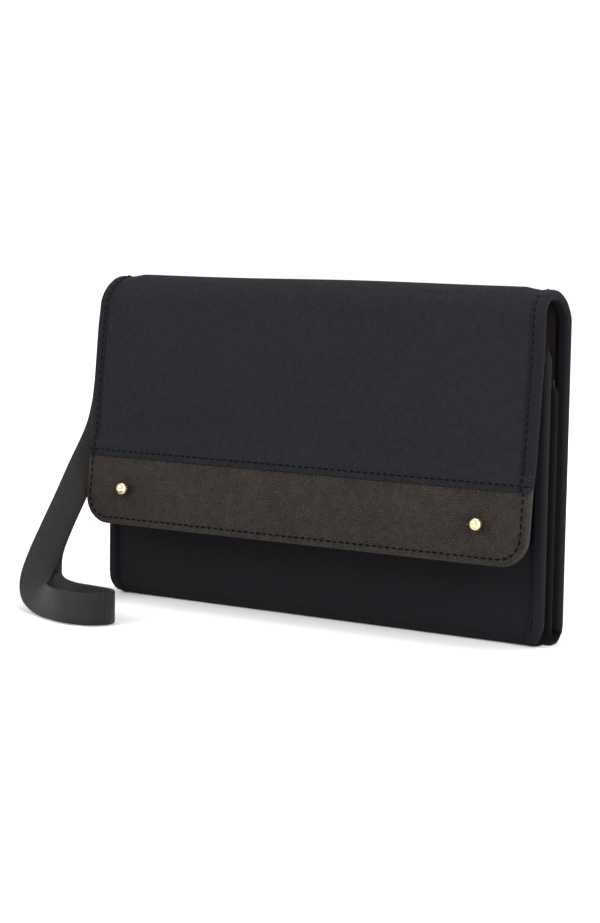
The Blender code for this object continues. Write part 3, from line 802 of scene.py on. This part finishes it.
def band_rim(start, inset, steps):
    """(x, s, outward x, outward s) down the band's left side, along its lower edge and up."""
    low, side, across = FLAP_END - CORNER, FLAP_HALF - inset, FLAP_HALF - CORNER
    downs = spaced(start, low, 0.002)
    bends = []
    for middle, first in ((-across, math.pi), (across, quarter)):
        turns = [first - quarter * k / steps for k in range(1, steps)]
        ways = [(math.cos(turn), math.sin(turn)) for turn in turns]
        bends.append([
            (middle + (CORNER - inset) * c, low + (CORNER - inset) * d, c, d) for c, d in ways
        ])
    return [
        *[(-side, s, -1, 0) for s in downs],
        *bends[0],
        *[(x, FLAP_END - inset, 0, 1) for x in spaced(-across, across, 0.003)],
        *bends[1],
        *[(side, s, 1, 0) for s in reversed(downs)],
    ]


RIM_IN = 0.0014
edge_path = []
for x, s, away_x, away_s in band_rim(band_top, RIM_IN, 12):
    _, out = trace(OVER, OVER_AT, s)
    away = Vector((away_x, flap_way.x * away_s, flap_way.y * away_s)).normalized()
    edge_path.append((on_over(x, s, middle_depth), away, Vector((0, out.x, out.y))))
# Painted highlight: the turned edge is a lighter copy of the band leather, standing in for the light
# its round edge catches.
LIT_EDGE_SKIN = skin("edge_leather", (0.0110, 0.0094, 0.0086), (0.0400, 0.0340, 0.0315), 0.0007)
band_edge = turned_edge("leather_band_edge", edge_path, 0.0015, band_thick, LIT_EDGE_SKIN)
put(band_edge, "flap", "leather")

# ======== front panel cloth
# A finer black cloth, darkened further with painted shade from the flap, starts under the base and runs
# up the front panel to its top edge.
front_rows = chain(0.0, (FRONT_AT[1], 0.002), (FRONT_RISE, 0.0010), (FRONT_END, 0.003))
front_cloth = layer(
    "front_cloth", on_front, front_rows, lambda s: front_reach(s) - CLOTH_IN,
    0.0, CLOTH, SHADE_TWILL,
)
across_base(front_cloth, "plain_cloth", "front_outer_cloth", "bottom_fold")

# ======== linings
# Brown-black plain lining faces every panel on the inside and follows the same folds.


liner = Shade("brown_lining")
place, across_it, along_it = liner.flat()
YARN_PITCH = 0.0005
warp = (across_it * (1 / YARN_PITCH)).wave()
weft = (along_it * (1 / YARN_PITCH)).wave()
slub = liner.noise(place, 500.0, 2.0)
cloud = liner.noise(place, 30.0, 2.0)
tone = warp * 0.25 + weft * 0.25 + slub * 0.3 + cloud * 0.2
LINER = liner.set(
    Base_Color=liner.mix(tone, (0.0060, 0.0038, 0.0036), (0.0170, 0.0110, 0.0105)),
    Roughness=0.6 + slub * 0.15,
    Normal=liner.bump(warp * weft + slub * 0.3, 0.00010, 0.7),
    Specular_IOR_Level=0.2,
)
FOLD_STEP = 0.0014
lining_rows = [
    chain(BACK_START + 0.001, (ARC_START, 0.005), (CUTS[0], FOLD_STEP)),
    spaced(CUTS[0], CUTS[1], FOLD_STEP),
    spaced(CUTS[1], CUTS[2], FOLD_STEP),
    chain(CUTS[2], (FLAP_START, FOLD_STEP), (band_top - 0.0004, 0.004)),
]
lining_names = ("back_lining_cloth", "top_lining_rear", "top_lining_front", "flap_lining_cloth")
lining_nodes = {0: ("back_lining",), 3: ("flap_lining",)}
for number, rows in enumerate(lining_rows):
    piece = layer(
        lining_names[number], on_over, rows, HALF_WIDTH - LINING_IN, LINING_DEPTH, LINING, LINER
    )
    across_top(piece, number, "lining", *lining_nodes.get(number, ()))
flap_facing = layer(
    "band_facing", on_over, band_rows, lambda s: band_half(s) - 0.0045, BAND_BACK, 0.0004, LINER
)
put(flap_facing, "flap", "lining")
front_lining_rows = spaced(FRONT_RISE + 0.003, FRONT_END - 0.0006, 0.004)
front_lining = layer(
    "front_lining_cloth", on_front, front_lining_rows, HALF_WIDTH - LINING_IN,
    LINING_DEPTH, LINING, LINER,
)
put(front_lining, "front_panel", "lining", "front_lining")

# ======== edge binding
# Woven tape is folded round every cut edge and sewn through, 3 mm in from the edge.
TAPE = 0.0005
LEG = 0.0044


def bound_edge(name, path, half, finish, tape=TAPE):
    """Tape wrapped round an edge: path gives the edge, the way in and the face's normal."""
    rings, uvs, run = [], [], 0.0
    swell = half + tape
    for index, (place, inward, out) in enumerate(path):
        if index:
            run += (place - path[index - 1][0]).length
        ring, row = [], []
        travel = 0.0
        outline = [(LEG, half + 0.0001), (LEG, swell * 0.97), (LEG * 0.7, swell)]
        for k in range(9):
            angle = quarter - math.pi * k / 8
            outline.append((0.0011 - 0.0016 * math.cos(angle), swell * math.sin(angle)))
        outline += [(LEG * 0.7, -swell), (LEG, -swell * 0.97), (LEG, -half - 0.0001)]
        for k in range(7):
            angle = -quarter + math.pi * k / 6
            outline.append((0.0016 - 0.0013 * math.cos(angle), half * math.sin(angle)))
        before = outline[0]
        for a, b in outline:
            travel += math.hypot(a - before[0], b - before[1])
            before = (a, b)
            ring.append(place + inward * a + out * b)
            row.append((travel, run))
        rings.append(ring)
        uvs.append(row)
    return tube(name, rings, uvs, finish)


def face_out(route, begins, s):
    """Outward direction of a route as a vector in space."""
    _, out = trace(route, begins, s)
    return Vector((0, out.x, out.y))


BINDING = twill("binding_tape", (0.0008, 0.0009, 0.0016), (0.0078, 0.0080, 0.0115), 0.0008)
INNER_BINDING = twill("inner_binding_tape", (0.0004, 0.0004, 0.0006), (0.0040, 0.0038, 0.0046), 0.0008)
edge_rows = [
    chain(BACK_START - 0.003, (ARC_START, 0.004), (CUTS[0], FOLD_STEP)),
    spaced(CUTS[0], CUTS[1], FOLD_STEP),
    spaced(CUTS[1], CUTS[2], FOLD_STEP),
    chain(CUTS[2], (FLAP_START, FOLD_STEP), (SEAM - 0.0005, 0.003)),
]
edge_names = ("back_edge", "top_edge_rear", "top_edge_front", "flap_edge")
edge_nodes = {0: "back_binding", 3: "flap_binding"}
for number, rows in enumerate(edge_rows):
    for side, label in ((-1, "left"), (1, "right")):
        path = []
        for s in rows:
            raised = seam_lift(s) if number == 3 else 0.0
            place = on_over(side * over_reach(s), s, PANEL_HALF - raised / 2)
            path.append((place, Vector((-side, 0, 0)), face_out(OVER, OVER_AT, s)))
        piece = bound_edge(
            f"{edge_names[number]}_binding_{label}", path, PANEL_HALF + 0.0001, BINDING, 0.0003
        )
        nodes = [f"{edge_nodes[number]}_{label}"] if number in edge_nodes else []
        across_top(piece, number, "binding", *nodes)

PANEL_CORNER = 0.006


def mouth_rim(rows, reach, top):
    """(x, s, inward x, inward s) up a panel's left side, along its top edge and down."""
    span = HALF_WIDTH - PANEL_CORNER
    sides = []
    for side in (-1, 1):
        stretch = [(side * reach(s), s, -side, 0.0) for s in rows]
        for k in range(1, 8):
            c, d = math.cos(quarter * k / 8), math.sin(quarter * k / 8)
            place = (side * (span + PANEL_CORNER * c), top - PANEL_CORNER + PANEL_CORNER * d)
            stretch.append((*place, -side * c, -d))
        sides.append(stretch)
    along = [(x, top, 0.0, -1.0) for x in spaced(-span, span, 0.004)]
    return [*sides[0], *along, *reversed(sides[1])]


side_rows = chain(
    FRONT_RISE - 0.005, (FRONT_RISE + 0.004, 0.0015), (FRONT_END - PANEL_CORNER, 0.003)
)
front_path = []
for x, s, in_x, in_s in mouth_rim(side_rows, front_reach, FRONT_END):
    out = face_out(FRONT, FRONT_AT, s)
    front_path.append((on_front(x, s, PANEL_HALF), Vector((in_x, 0, in_s)), out))
front_binding = bound_edge("front_panel_edge_binding", front_path, PANEL_HALF + 0.0001, BINDING)
across_base(
    front_binding, "binding", "front_binding_left", "front_binding_right", "front_binding_top"
)

# ======== passport pocket
# A bound sheet of lining on the front panel's inner side, held off it by two side walls.
pocket_low, pocket_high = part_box("passport_pocket_sheet")
pocket_top = pocket_high.z
pocket_thick = pocket_high.y - pocket_low.y


def on_pocket(x, s, depth=0.0):
    """A point of the pocket sheet at height s; its mouth slackens towards the back."""
    up = (s - pocket_low.z) / (pocket_top - pocket_low.z)
    slack = 0.0009 * math.cos(quarter * x / HALF_WIDTH) * max(0.0, up) ** 2
    return Vector((x, pocket_low.y + depth + slack, s))


pocket_sheet = layer(
    "passport_pocket_cloth", on_pocket, spaced(pocket_low.z, pocket_top, 0.004),
    HALF_WIDTH - 0.0012, 0.0, pocket_thick, LINER,
)
put(pocket_sheet, "front_panel", "lining", "passport_pocket_sheet")
pocket_rows = spaced(pocket_low.z, pocket_top - PANEL_CORNER, 0.004)
pocket_path = []
for x, z, in_x, in_z in mouth_rim(pocket_rows, lambda z: HALF_WIDTH, pocket_top):
    place = on_pocket(x, z, pocket_thick / 2)
    pocket_path.append((place, Vector((in_x, 0, in_z)), Vector((0, -1, 0))))
pocket_binding = bound_edge(
    "passport_pocket_edge_binding", pocket_path, pocket_thick / 2, INNER_BINDING
)
pocket_nodes = ("passport_pocket_binding_left", "passport_pocket_binding_right")
put(pocket_binding, "front_panel", "binding", *pocket_nodes)
for label in ("left", "right"):
    wall_low, wall_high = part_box(f"passport_pocket_wall_{label}")
    centre, half = (wall_low + wall_high) / 2, (wall_high - wall_low) / 2
    bow = 0.00036 if label == "right" else -0.00036
    rings, uvs = [], []
    for z in spaced(wall_low.z, wall_high.z, 0.003):
        ring, row = [], []
        for k in range(16):
            angle = 2 * math.pi * k / 16
            x = centre.x + half.x * math.cos(angle) + bow * math.cos(angle * 2)
            ring.append(Vector((x, centre.y + half.y * math.sin(angle), z)))
            row.append((0.002 * angle, z))
        rings.append(ring)
        uvs.append(row)
    wall = tube(f"passport_pocket_side_{label}", rings, uvs, LINER)
    put(wall, "front_panel", "lining", f"passport_pocket_wall_{label}")

# ======== card pockets
# Three stepped sheets of lining on the back panel's inner side; each mouth is folded over.
for number in (1, 2, 3):
    card_low, card_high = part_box(f"card_pocket_{number}")
    card_thick = card_high.y - card_low.y

    def on_card(x, s, depth):
        """A point of this card sheet at height s."""
        return Vector((x, card_high.y - depth, s))

    cards = layer(
        f"card_pocket_cloth_{number}", on_card, spaced(card_low.z, card_high.z, 0.005),
        card_high.x, 0.0, card_thick, LINER,
    )
    put(cards, "back", "lining", f"card_pocket_{number}")

# ======== coin pocket
# A shallow pocket on the front panel, under the flap.  Its face leans out towards its
# floor, and a coil zip runs across it near the top.
face_low, face_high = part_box("coin_pocket_face")
strip_low, strip_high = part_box("coin_pocket_top_strip")
coin_way = Vector((0, math.sin(FLARE), math.cos(FLARE)))
coin_out = Vector((0, -math.cos(FLARE), math.sin(FLARE)))
coin_foot = Vector((0, face_low.y, face_low.z + CLOTH * math.sin(FLARE)))


def on_coin(x, s, depth=0.0):
    """A point of the coin pocket's face, s above its floor."""
    return coin_foot + Vector((x, 0, 0)) + coin_way * s - coin_out * depth


coin_face_end = (face_high.z - face_low.z) / math.cos(FLARE)
strip_start = (strip_low.z - face_low.z) / math.cos(FLARE)
strip_end = (strip_high.z - face_low.z) / math.cos(FLARE)
for name, node, low, high in (
    ("coin_face_cloth", "coin_pocket_face", 0.0, coin_face_end),
    ("coin_top_cloth", "coin_pocket_top_strip", strip_start, strip_end),
):
    piece = layer(name, on_coin, spaced(low, high, 0.004), face_high.x, 0.0, CLOTH, SHADE_TWILL)
    put(piece, "front_panel", "plain_cloth", node)


def copied(name, node, finish, edge, body, slot):
    """A CAD solid with its corners worn round."""
    mesh = frame["nodes"][node].data.copy()
    mesh.materials.clear()
    shape = bmesh.new()
    shape.from_mesh(mesh)
    bmesh.ops.remove_doubles(shape, verts=shape.verts, dist=0.00001)
    bmesh.ops.dissolve_limit(shape, angle_limit=0.02, verts=shape.verts, edges=shape.edges)
    sharp = [e for e in shape.edges if e.is_manifold and e.calc_face_angle(0.0) > 0.6]
    bmesh.ops.bevel(
        shape, geom=sharp, offset=edge, segments=2, profile=0.5, affect="EDGES", clamp_overlap=True
    )
    shape.to_mesh(mesh)
    shape.free()
    for layer_uv in list(mesh.uv_layers):
        mesh.uv_layers.remove(layer_uv)
    made = link(name, mesh, finish)
    mesh.set_sharp_from_angle(angle=0.9)
    put(made, body, slot, node)
    return made

# The same dark cloth, with the same painted shade in its colour and rib troughs, for small sewn pieces
# that have no UV map.
sewn = Shade("sewn_cloth")
place = sewn.solid()
split = sewn.node("ShaderNodeSeparateXYZ", Vector=place)
run = Wire(sewn, split.outputs["X"]) + Wire(sewn, split.outputs["Z"])
rib = (run * (0.7071 / 0.0008)).wave()
slub = sewn.noise(place, 500.0, 3.0)
SEWN = sewn.set(
    Base_Color=sewn.mix(rib * 0.6 + slub * 0.4, (0.0012, 0.0012, 0.0022), (0.0058, 0.0056, 0.0082)),
    Roughness=0.7 + slub * 0.15,
    Normal=sewn.bump(rib + slub * 0.4, 0.00012, 0.8),
    Specular_IOR_Level=0.2,
)
for node in ("coin_pocket_floor", "coin_pocket_wall_left", "coin_pocket_wall_right"):
    copied(f"{node}_cloth", node, SEWN, 0.00015, "front_panel", "plain_cloth")


def plated(name, colour, roughness, scale=900.0):
    """Plated metal with fine handling marks."""
    metal = Shade(name)
    marks = metal.noise(metal.solid(), scale, 4.0, 0.6)
    cloud = metal.noise(metal.solid(), 120.0, 2.0)
    darker = tuple(value * 0.82 for value in colour)
    return metal.set(
        Base_Color=metal.mix(cloud, darker, colour),
        Roughness=roughness + marks * 0.10,
        Normal=metal.bump(marks, 0.00002, 0.3),
        Metallic=1.0,
    )


GUNMETAL = plated("zip_gunmetal", (0.33, 0.32, 0.31), 0.24)
copied("zip_slider_body", "zip_slider", GUNMETAL, 0.00025, "zip_slider", "zip_metal")
copied("zip_pull_tab", "zip_pull", GUNMETAL, 0.00018, "zip_pull", "zip_metal")
for label in ("left", "right"):
    copied(f"zip_stop_clip_{label}", f"zip_stop_{label}", GUNMETAL, 0.0002, "front_panel", "zip_metal")
copied("zip_tape_upper_cloth", "zip_tape_upper", SEWN, 0.0001, "front_panel", "zip_nylon")
copied("zip_tape_lower_cloth", "zip_tape_lower", SEWN, 0.0001, "front_panel", "zip_nylon")
copied("strap_anchor_cloth", "strap_anchor_tab", SEWN, 0.0002, "back", "webbing")
bpy.context.view_layer.update()


nylon = Shade("coil_nylon")
grain = nylon.noise(nylon.solid(), 700.0, 2.0)
NYLON = nylon.set(
    Base_Color=nylon.mix(grain, (0.010, 0.010, 0.011), (0.022, 0.022, 0.024)),
    Roughness=0.38 + grain * 0.1,
    Normal=nylon.bump(grain, 0.00003, 0.4),
)

# ======== sewing and the zip's coil
# Thread and coil teeth are one small shape set again and again along a line.  Each stitch
# is a short bead that dives at both ends; each coil turn is a bead laid across the zip.


def bead_tree():
    """Beads of one size, set along lines of points, each turned to its line and face."""
    tree = bpy.data.node_groups.new("beads_along_a_line", "GeometryNodeTree")
    taken = {"Geometry": "Geometry", "Pitch": "Float", "Length": "Float", "Width": "Float"}
    for label, kind in {**taken, "Height": "Float", "Finish": "Material"}.items():
        tree.interface.new_socket(label, in_out="INPUT", socket_type=f"NodeSocket{kind}")
    tree.interface.new_socket("Geometry", in_out="OUTPUT", socket_type="NodeSocketGeometry")
    new = tree.nodes.new
    entry, leave = new("NodeGroupInput"), new("NodeGroupOutput")
    curve = new("GeometryNodeMeshToCurve")
    spaced_out = new("GeometryNodeResampleCurve")
    spaced_out.mode = "LENGTH"
    bead = new("GeometryNodeMeshUVSphere")
    bead.inputs["Segments"].default_value = 8
    bead.inputs["Rings"].default_value = 6
    bead.inputs["Radius"].default_value = 0.5
    size = new("ShaderNodeCombineXYZ")
    shaped = new("GeometryNodeTransform")
    tangent = new("GeometryNodeInputTangent")
    along = new("FunctionNodeAlignRotationToVector")
    along.axis = "X"
    facing = new("GeometryNodeInputNamedAttribute")
    facing.data_type = "FLOAT_VECTOR"
    facing.inputs["Name"].default_value = "facing"
    upright = new("FunctionNodeAlignRotationToVector")
    upright.axis = "Z"
    upright.pivot_axis = "X"
    place = new("GeometryNodeInstanceOnPoints")
    real = new("GeometryNodeRealizeInstances")
    rounded = new("GeometryNodeSetShadeSmooth")
    finish = new("GeometryNodeSetMaterial")
    for source, given, target, into in (
        (entry, "Geometry", curve, "Mesh"),
        (curve, "Curve", spaced_out, "Curve"),
        (entry, "Pitch", spaced_out, "Length"),
        (entry, "Length", size, "X"),
        (entry, "Width", size, "Y"),
        (entry, "Height", size, "Z"),
        (bead, "Mesh", shaped, "Geometry"),
        (size, "Vector", shaped, "Scale"),
        (spaced_out, "Curve", place, "Points"),
        (shaped, "Geometry", place, "Instance"),
        (tangent, "Tangent", along, "Vector"),
        (along, "Rotation", upright, "Rotation"),
        (facing, "Attribute", upright, "Vector"),
        (upright, "Rotation", place, "Rotation"),
        (place, "Instances", real, "Geometry"),
        (real, "Geometry", rounded, "Geometry"),
        (rounded, "Geometry", finish, "Geometry"),
        (entry, "Finish", finish, "Material"),
        (finish, "Geometry", leave, "Geometry"),
    ):
        tree.links.new(source.outputs[given], target.inputs[into])
    return tree


BEADS = bead_tree()


def beads(name, rows, pitch, length, width, height, finish):
    """Run the bead tree on rows of (point, facing) and keep the plain mesh."""
    points, edges, facings = [], [], []
    for row in rows:
        first = len(points)
        points += [tuple(place) for place, _ in row]
        facings += [tuple(out) for _, out in row]
        edges += [(first + k, first + k + 1) for k in range(len(row) - 1)]
    guide_mesh = bpy.data.meshes.new(name + "_guide")
    guide_mesh.from_pydata(points, edges, [])
    attribute = guide_mesh.attributes.new("facing", "FLOAT_VECTOR", "POINT")
    attribute.data.foreach_set("vector", [value for out in facings for value in out])
    guide = bpy.data.objects.new(name + "_guide", guide_mesh)
    bpy.context.scene.collection.objects.link(guide)
    modifier = guide.modifiers.new("beads", "NODES")
    modifier.node_group = BEADS
    values = {"Pitch": pitch, "Length": length, "Width": width, "Height": height, "Finish": finish}
    for item in BEADS.interface.items_tree:
        if item.in_out == "INPUT" and item.name in values:
            modifier[item.identifier] = values[item.name]
    bpy.context.view_layer.update()
    shown = guide.evaluated_get(bpy.context.evaluated_depsgraph_get())
    mesh = bpy.data.meshes.new_from_object(shown)
    mesh.name = name
    bpy.data.objects.remove(guide)
    made = bpy.data.objects.new(name, mesh)
    bpy.context.scene.collection.objects.link(made)
    return made


def thread(name, dark, light):
    """Twisted sewing thread."""
    yarn = Shade(name)
    place = yarn.solid()
    twist = yarn.noise(place, 2200.0, 2.0)
    return yarn.set(
        Base_Color=yarn.mix(twist, dark, light),
        Roughness=0.55,
        Normal=yarn.bump(twist, 0.00008, 0.8),
        Specular_IOR_Level=0.04,
    )


NAVY_THREAD = thread("navy_thread", (0.0003, 0.0004, 0.0012), (0.0026, 0.0032, 0.0080))
BLACK_THREAD = thread("black_thread", (0.0003, 0.0003, 0.0003), (0.0016, 0.0014, 0.0013))
STITCH = {"pitch": 0.0029, "length": 0.0023, "width": 0.0007, "height": 0.00045}


def over_row(places, lift):
    """Stitch line on the back, top or flap from (x, s) pairs."""
    return [(on_over(x, s, -lift), face_out(OVER, OVER_AT, s)) for x, s in places]


seam_line = [(x, SEAM - 0.0016) for x in spaced(-FLAP_HALF + 0.0015, FLAP_HALF - 0.0015, 0.003)]
seam_row = over_row(seam_line, SEAM_LIFT + 0.00005)
seam_sewing = beads("seam_stitches", [seam_row], finish=NAVY_THREAD, **STITCH)
put(seam_sewing, "flap", "twill")

BAND_SEW_IN = 0.0026
band_line = [(x, s) for x, s, *_ in band_rim(SEAM + 0.0012, BAND_SEW_IN, 9)]
band_sewing = beads("band_stitches", [over_row(band_line, 0.0005)], finish=BLACK_THREAD, **STITCH)
put(band_sewing, "flap", "leather")

SEW_IN = 0.0033
SEW_RISE = 0.00042
for number, rows in enumerate(edge_rows):
    first = rows[0] + 0.004 if number == 0 else rows[0]
    lines = []
    for side in (-1, 1):
        lines.append([
            (
                on_over(side * (over_reach(s) - SEW_IN), s, -SEW_RISE - (number == 3) * seam_lift(s)),
                face_out(OVER, OVER_AT, s),
            )
            for s in spaced(first, rows[-1], 0.0014)
        ])
    sewing = beads(f"{edge_names[number]}_stitches", lines, finish=NAVY_THREAD, **STITCH)
    across_top(sewing, number, "twill")


def three_sides(rows, reach, top):
    """(x, s) pairs of the stitch lines up both sides of a panel and along its top."""
    span = HALF_WIDTH - 0.0045
    return (
        [(-(reach(s) - SEW_IN), s) for s in rows],
        [(reach(s) - SEW_IN, s) for s in rows],
        [(x, top - SEW_IN) for x in spaced(-span, span, 0.003)],
    )


side_rows = spaced(FRONT_RISE + 0.001, FRONT_END - 0.0045, 0.003)
front_lines = [
    [(on_front(x, s, -0.0006), face_out(FRONT, FRONT_AT, s)) for x, s in pairs]
    for pairs in three_sides(side_rows, front_reach, FRONT_END)
]
front_sewing = beads("front_panel_stitches", front_lines, finish=NAVY_THREAD, **STITCH)
across_base(front_sewing, "plain_cloth")

side_rows = spaced(pocket_low.z + 0.003, pocket_top - 0.005, 0.003)
pocket_lines = [
    [(on_pocket(x, z, pocket_thick + TAPE + 0.0001), Vector((0, 1, 0))) for x, z in pairs]
    for pairs in three_sides(side_rows, lambda z: HALF_WIDTH, pocket_top)
]
pocket_sewing = beads("passport_pocket_stitches", pocket_lines, finish=BLACK_THREAD, **STITCH)
put(pocket_sewing, "front_panel", "lining")

coil_low, coil_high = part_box("zip_coil")
coil_s = ((coil_low.z + coil_high.z) / 2 - coin_foot.z) / math.cos(FLARE)
coil_rows = []
for offset in (-0.00042, 0.00042):
    coil_rows.append([
        (on_coin(x, coil_s + offset, 0.0003), coin_out) for x in spaced(coil_low.x, coil_high.x, 0.004)
    ])
coil = beads("zip_coil_turns", coil_rows, 0.0008, 0.00055, 0.0011, 0.0013, NYLON)
put(coil, "front_panel", "zip_nylon", "zip_coil")

# ======== snaps
# Gold-plated press studs.  The cap's ball stands on a short neck in front of the leather;
# the socket sits behind the flap and closes over a post on the coin pocket.
GOLD = plated("gold_plate", (0.86, 0.69, 0.41), 0.12, 1500.0)


def turned(name, place, axis, profile, finish):
    """A round piece turned from a half profile of (radius, height) points."""
    count = 40
    turn_to = axis.to_track_quat("Z", "Y").to_matrix()
    points, faces, rings = [], [], []
    for radius, height in profile:
        if radius < 1e-7:
            rings.append([len(points)])
            points.append(Vector((0, 0, height)))
            continue
        rings.append(list(range(len(points), len(points) + count)))
        for k in range(count):
            angle = 2 * math.pi * k / count
            points.append(Vector((radius * math.cos(angle), radius * math.sin(angle), height)))
    for upper, lower in zip(rings, rings[1:]):
        for k in range(count):
            m = (k + 1) % count
            if len(upper) == 1:
                faces.append((upper[0], lower[k], lower[m]))
            elif len(lower) == 1:
                faces.append((upper[k], lower[0], upper[m]))
            else:
                faces.append((upper[k], lower[k], lower[m], upper[m]))
    made = built(name, [place + turn_to @ p for p in points], faces, finish)
    made.data.set_sharp_from_angle(angle=0.7)
    return made


BALL = 0.0027
BALL_RISE = 0.60
BALL_SWEEP = math.radians(132)
cap_level = 0.0004
ball_height = cap_level + BALL * BALL_RISE
flap_normal = Vector((0, flap_out.x, flap_out.y))
cap_profile = []
for k in range(17):
    angle = quarter - BALL_SWEEP * k / 16
    cap_profile.append((BALL * math.cos(angle) if k else 0.0, ball_height + BALL * math.sin(angle)))
cap_profile += [(0.0015, cap_level - 0.0003), (0.0015, -0.0004), (0.0011, -0.0005)]
cap_profile += [(0.0011, -2 * PANEL_HALF), (0.0, -2 * PANEL_HALF)]
for side, label in ((-1, "left"), (1, "right")):
    seat, out = trace(OVER, OVER_AT, STUD_S)
    place = Vector((side * stud_x, seat.x, seat.y))
    cap = turned(f"stud_ball_{label}", place, flap_normal, cap_profile, GOLD)
    put(cap, "flap", "gold", f"snap_cap_{label}")
    copied(f"snap_socket_ring_{label}", f"snap_socket_{label}", GOLD, 0.0002, "flap", "gold")
    copied(f"snap_post_stem_{label}", f"snap_post_{label}", GOLD, 0.00015, "front_panel", "gold")
    copied(f"snap_back_disc_{label}", f"snap_back_plate_{label}", GOLD, 0.00015, "front_panel", "gold")

# ======== hidden stiffeners
# Pressed board and metallised film lie between cloth and lining and never show.
fibre = Shade("pressed_board")
fibre_grain = fibre.noise(fibre.solid(), 300.0, 4.0)
fibre.set(
    Base_Color=fibre.mix(fibre_grain, (0.26, 0.22, 0.16), (0.42, 0.36, 0.28)),
    Roughness=0.85,
    Normal=fibre.bump(fibre_grain, 0.0001, 0.6),
)
foil = Shade("metallised_film")
foil_crinkle = foil.noise(foil.solid(), 90.0, 4.0)
foil.set(
    Base_Color=foil.mix(foil_crinkle, (0.45, 0.46, 0.48), (0.62, 0.63, 0.65)),
    Roughness=0.3 + foil_crinkle * 0.15,
    Normal=foil.bump(foil_crinkle, 0.0002, 0.5),
    Metallic=0.9,
)
stiff_panels = (
    ("back", "back", on_over, BACK_START + 0.003, ARC_START - 0.001),
    ("flap", "flap", on_over, FLAP_START + 0.001, FLAP_END - CORNER),
    ("front", "front_panel", on_front, FRONT_RISE + 0.003, FRONT_END - 0.005),
)
for label, body, surface, low, high in stiff_panels:
    for kind, depth, thickness, finish in (
        ("blocking_film", CLOTH + 0.00005, 0.0002, foil.material),
        ("board", CLOTH + 0.0003, 0.0008, fibre.material),
    ):
        rows = spaced(low, high, 0.006)
        panel = layer(
            f"{label}_{kind}_sheet", surface, rows, HALF_WIDTH - BOARD_IN, depth, thickness, finish
        )
        put(panel, body, kind.split("_")[-1], f"{label}_{kind}")
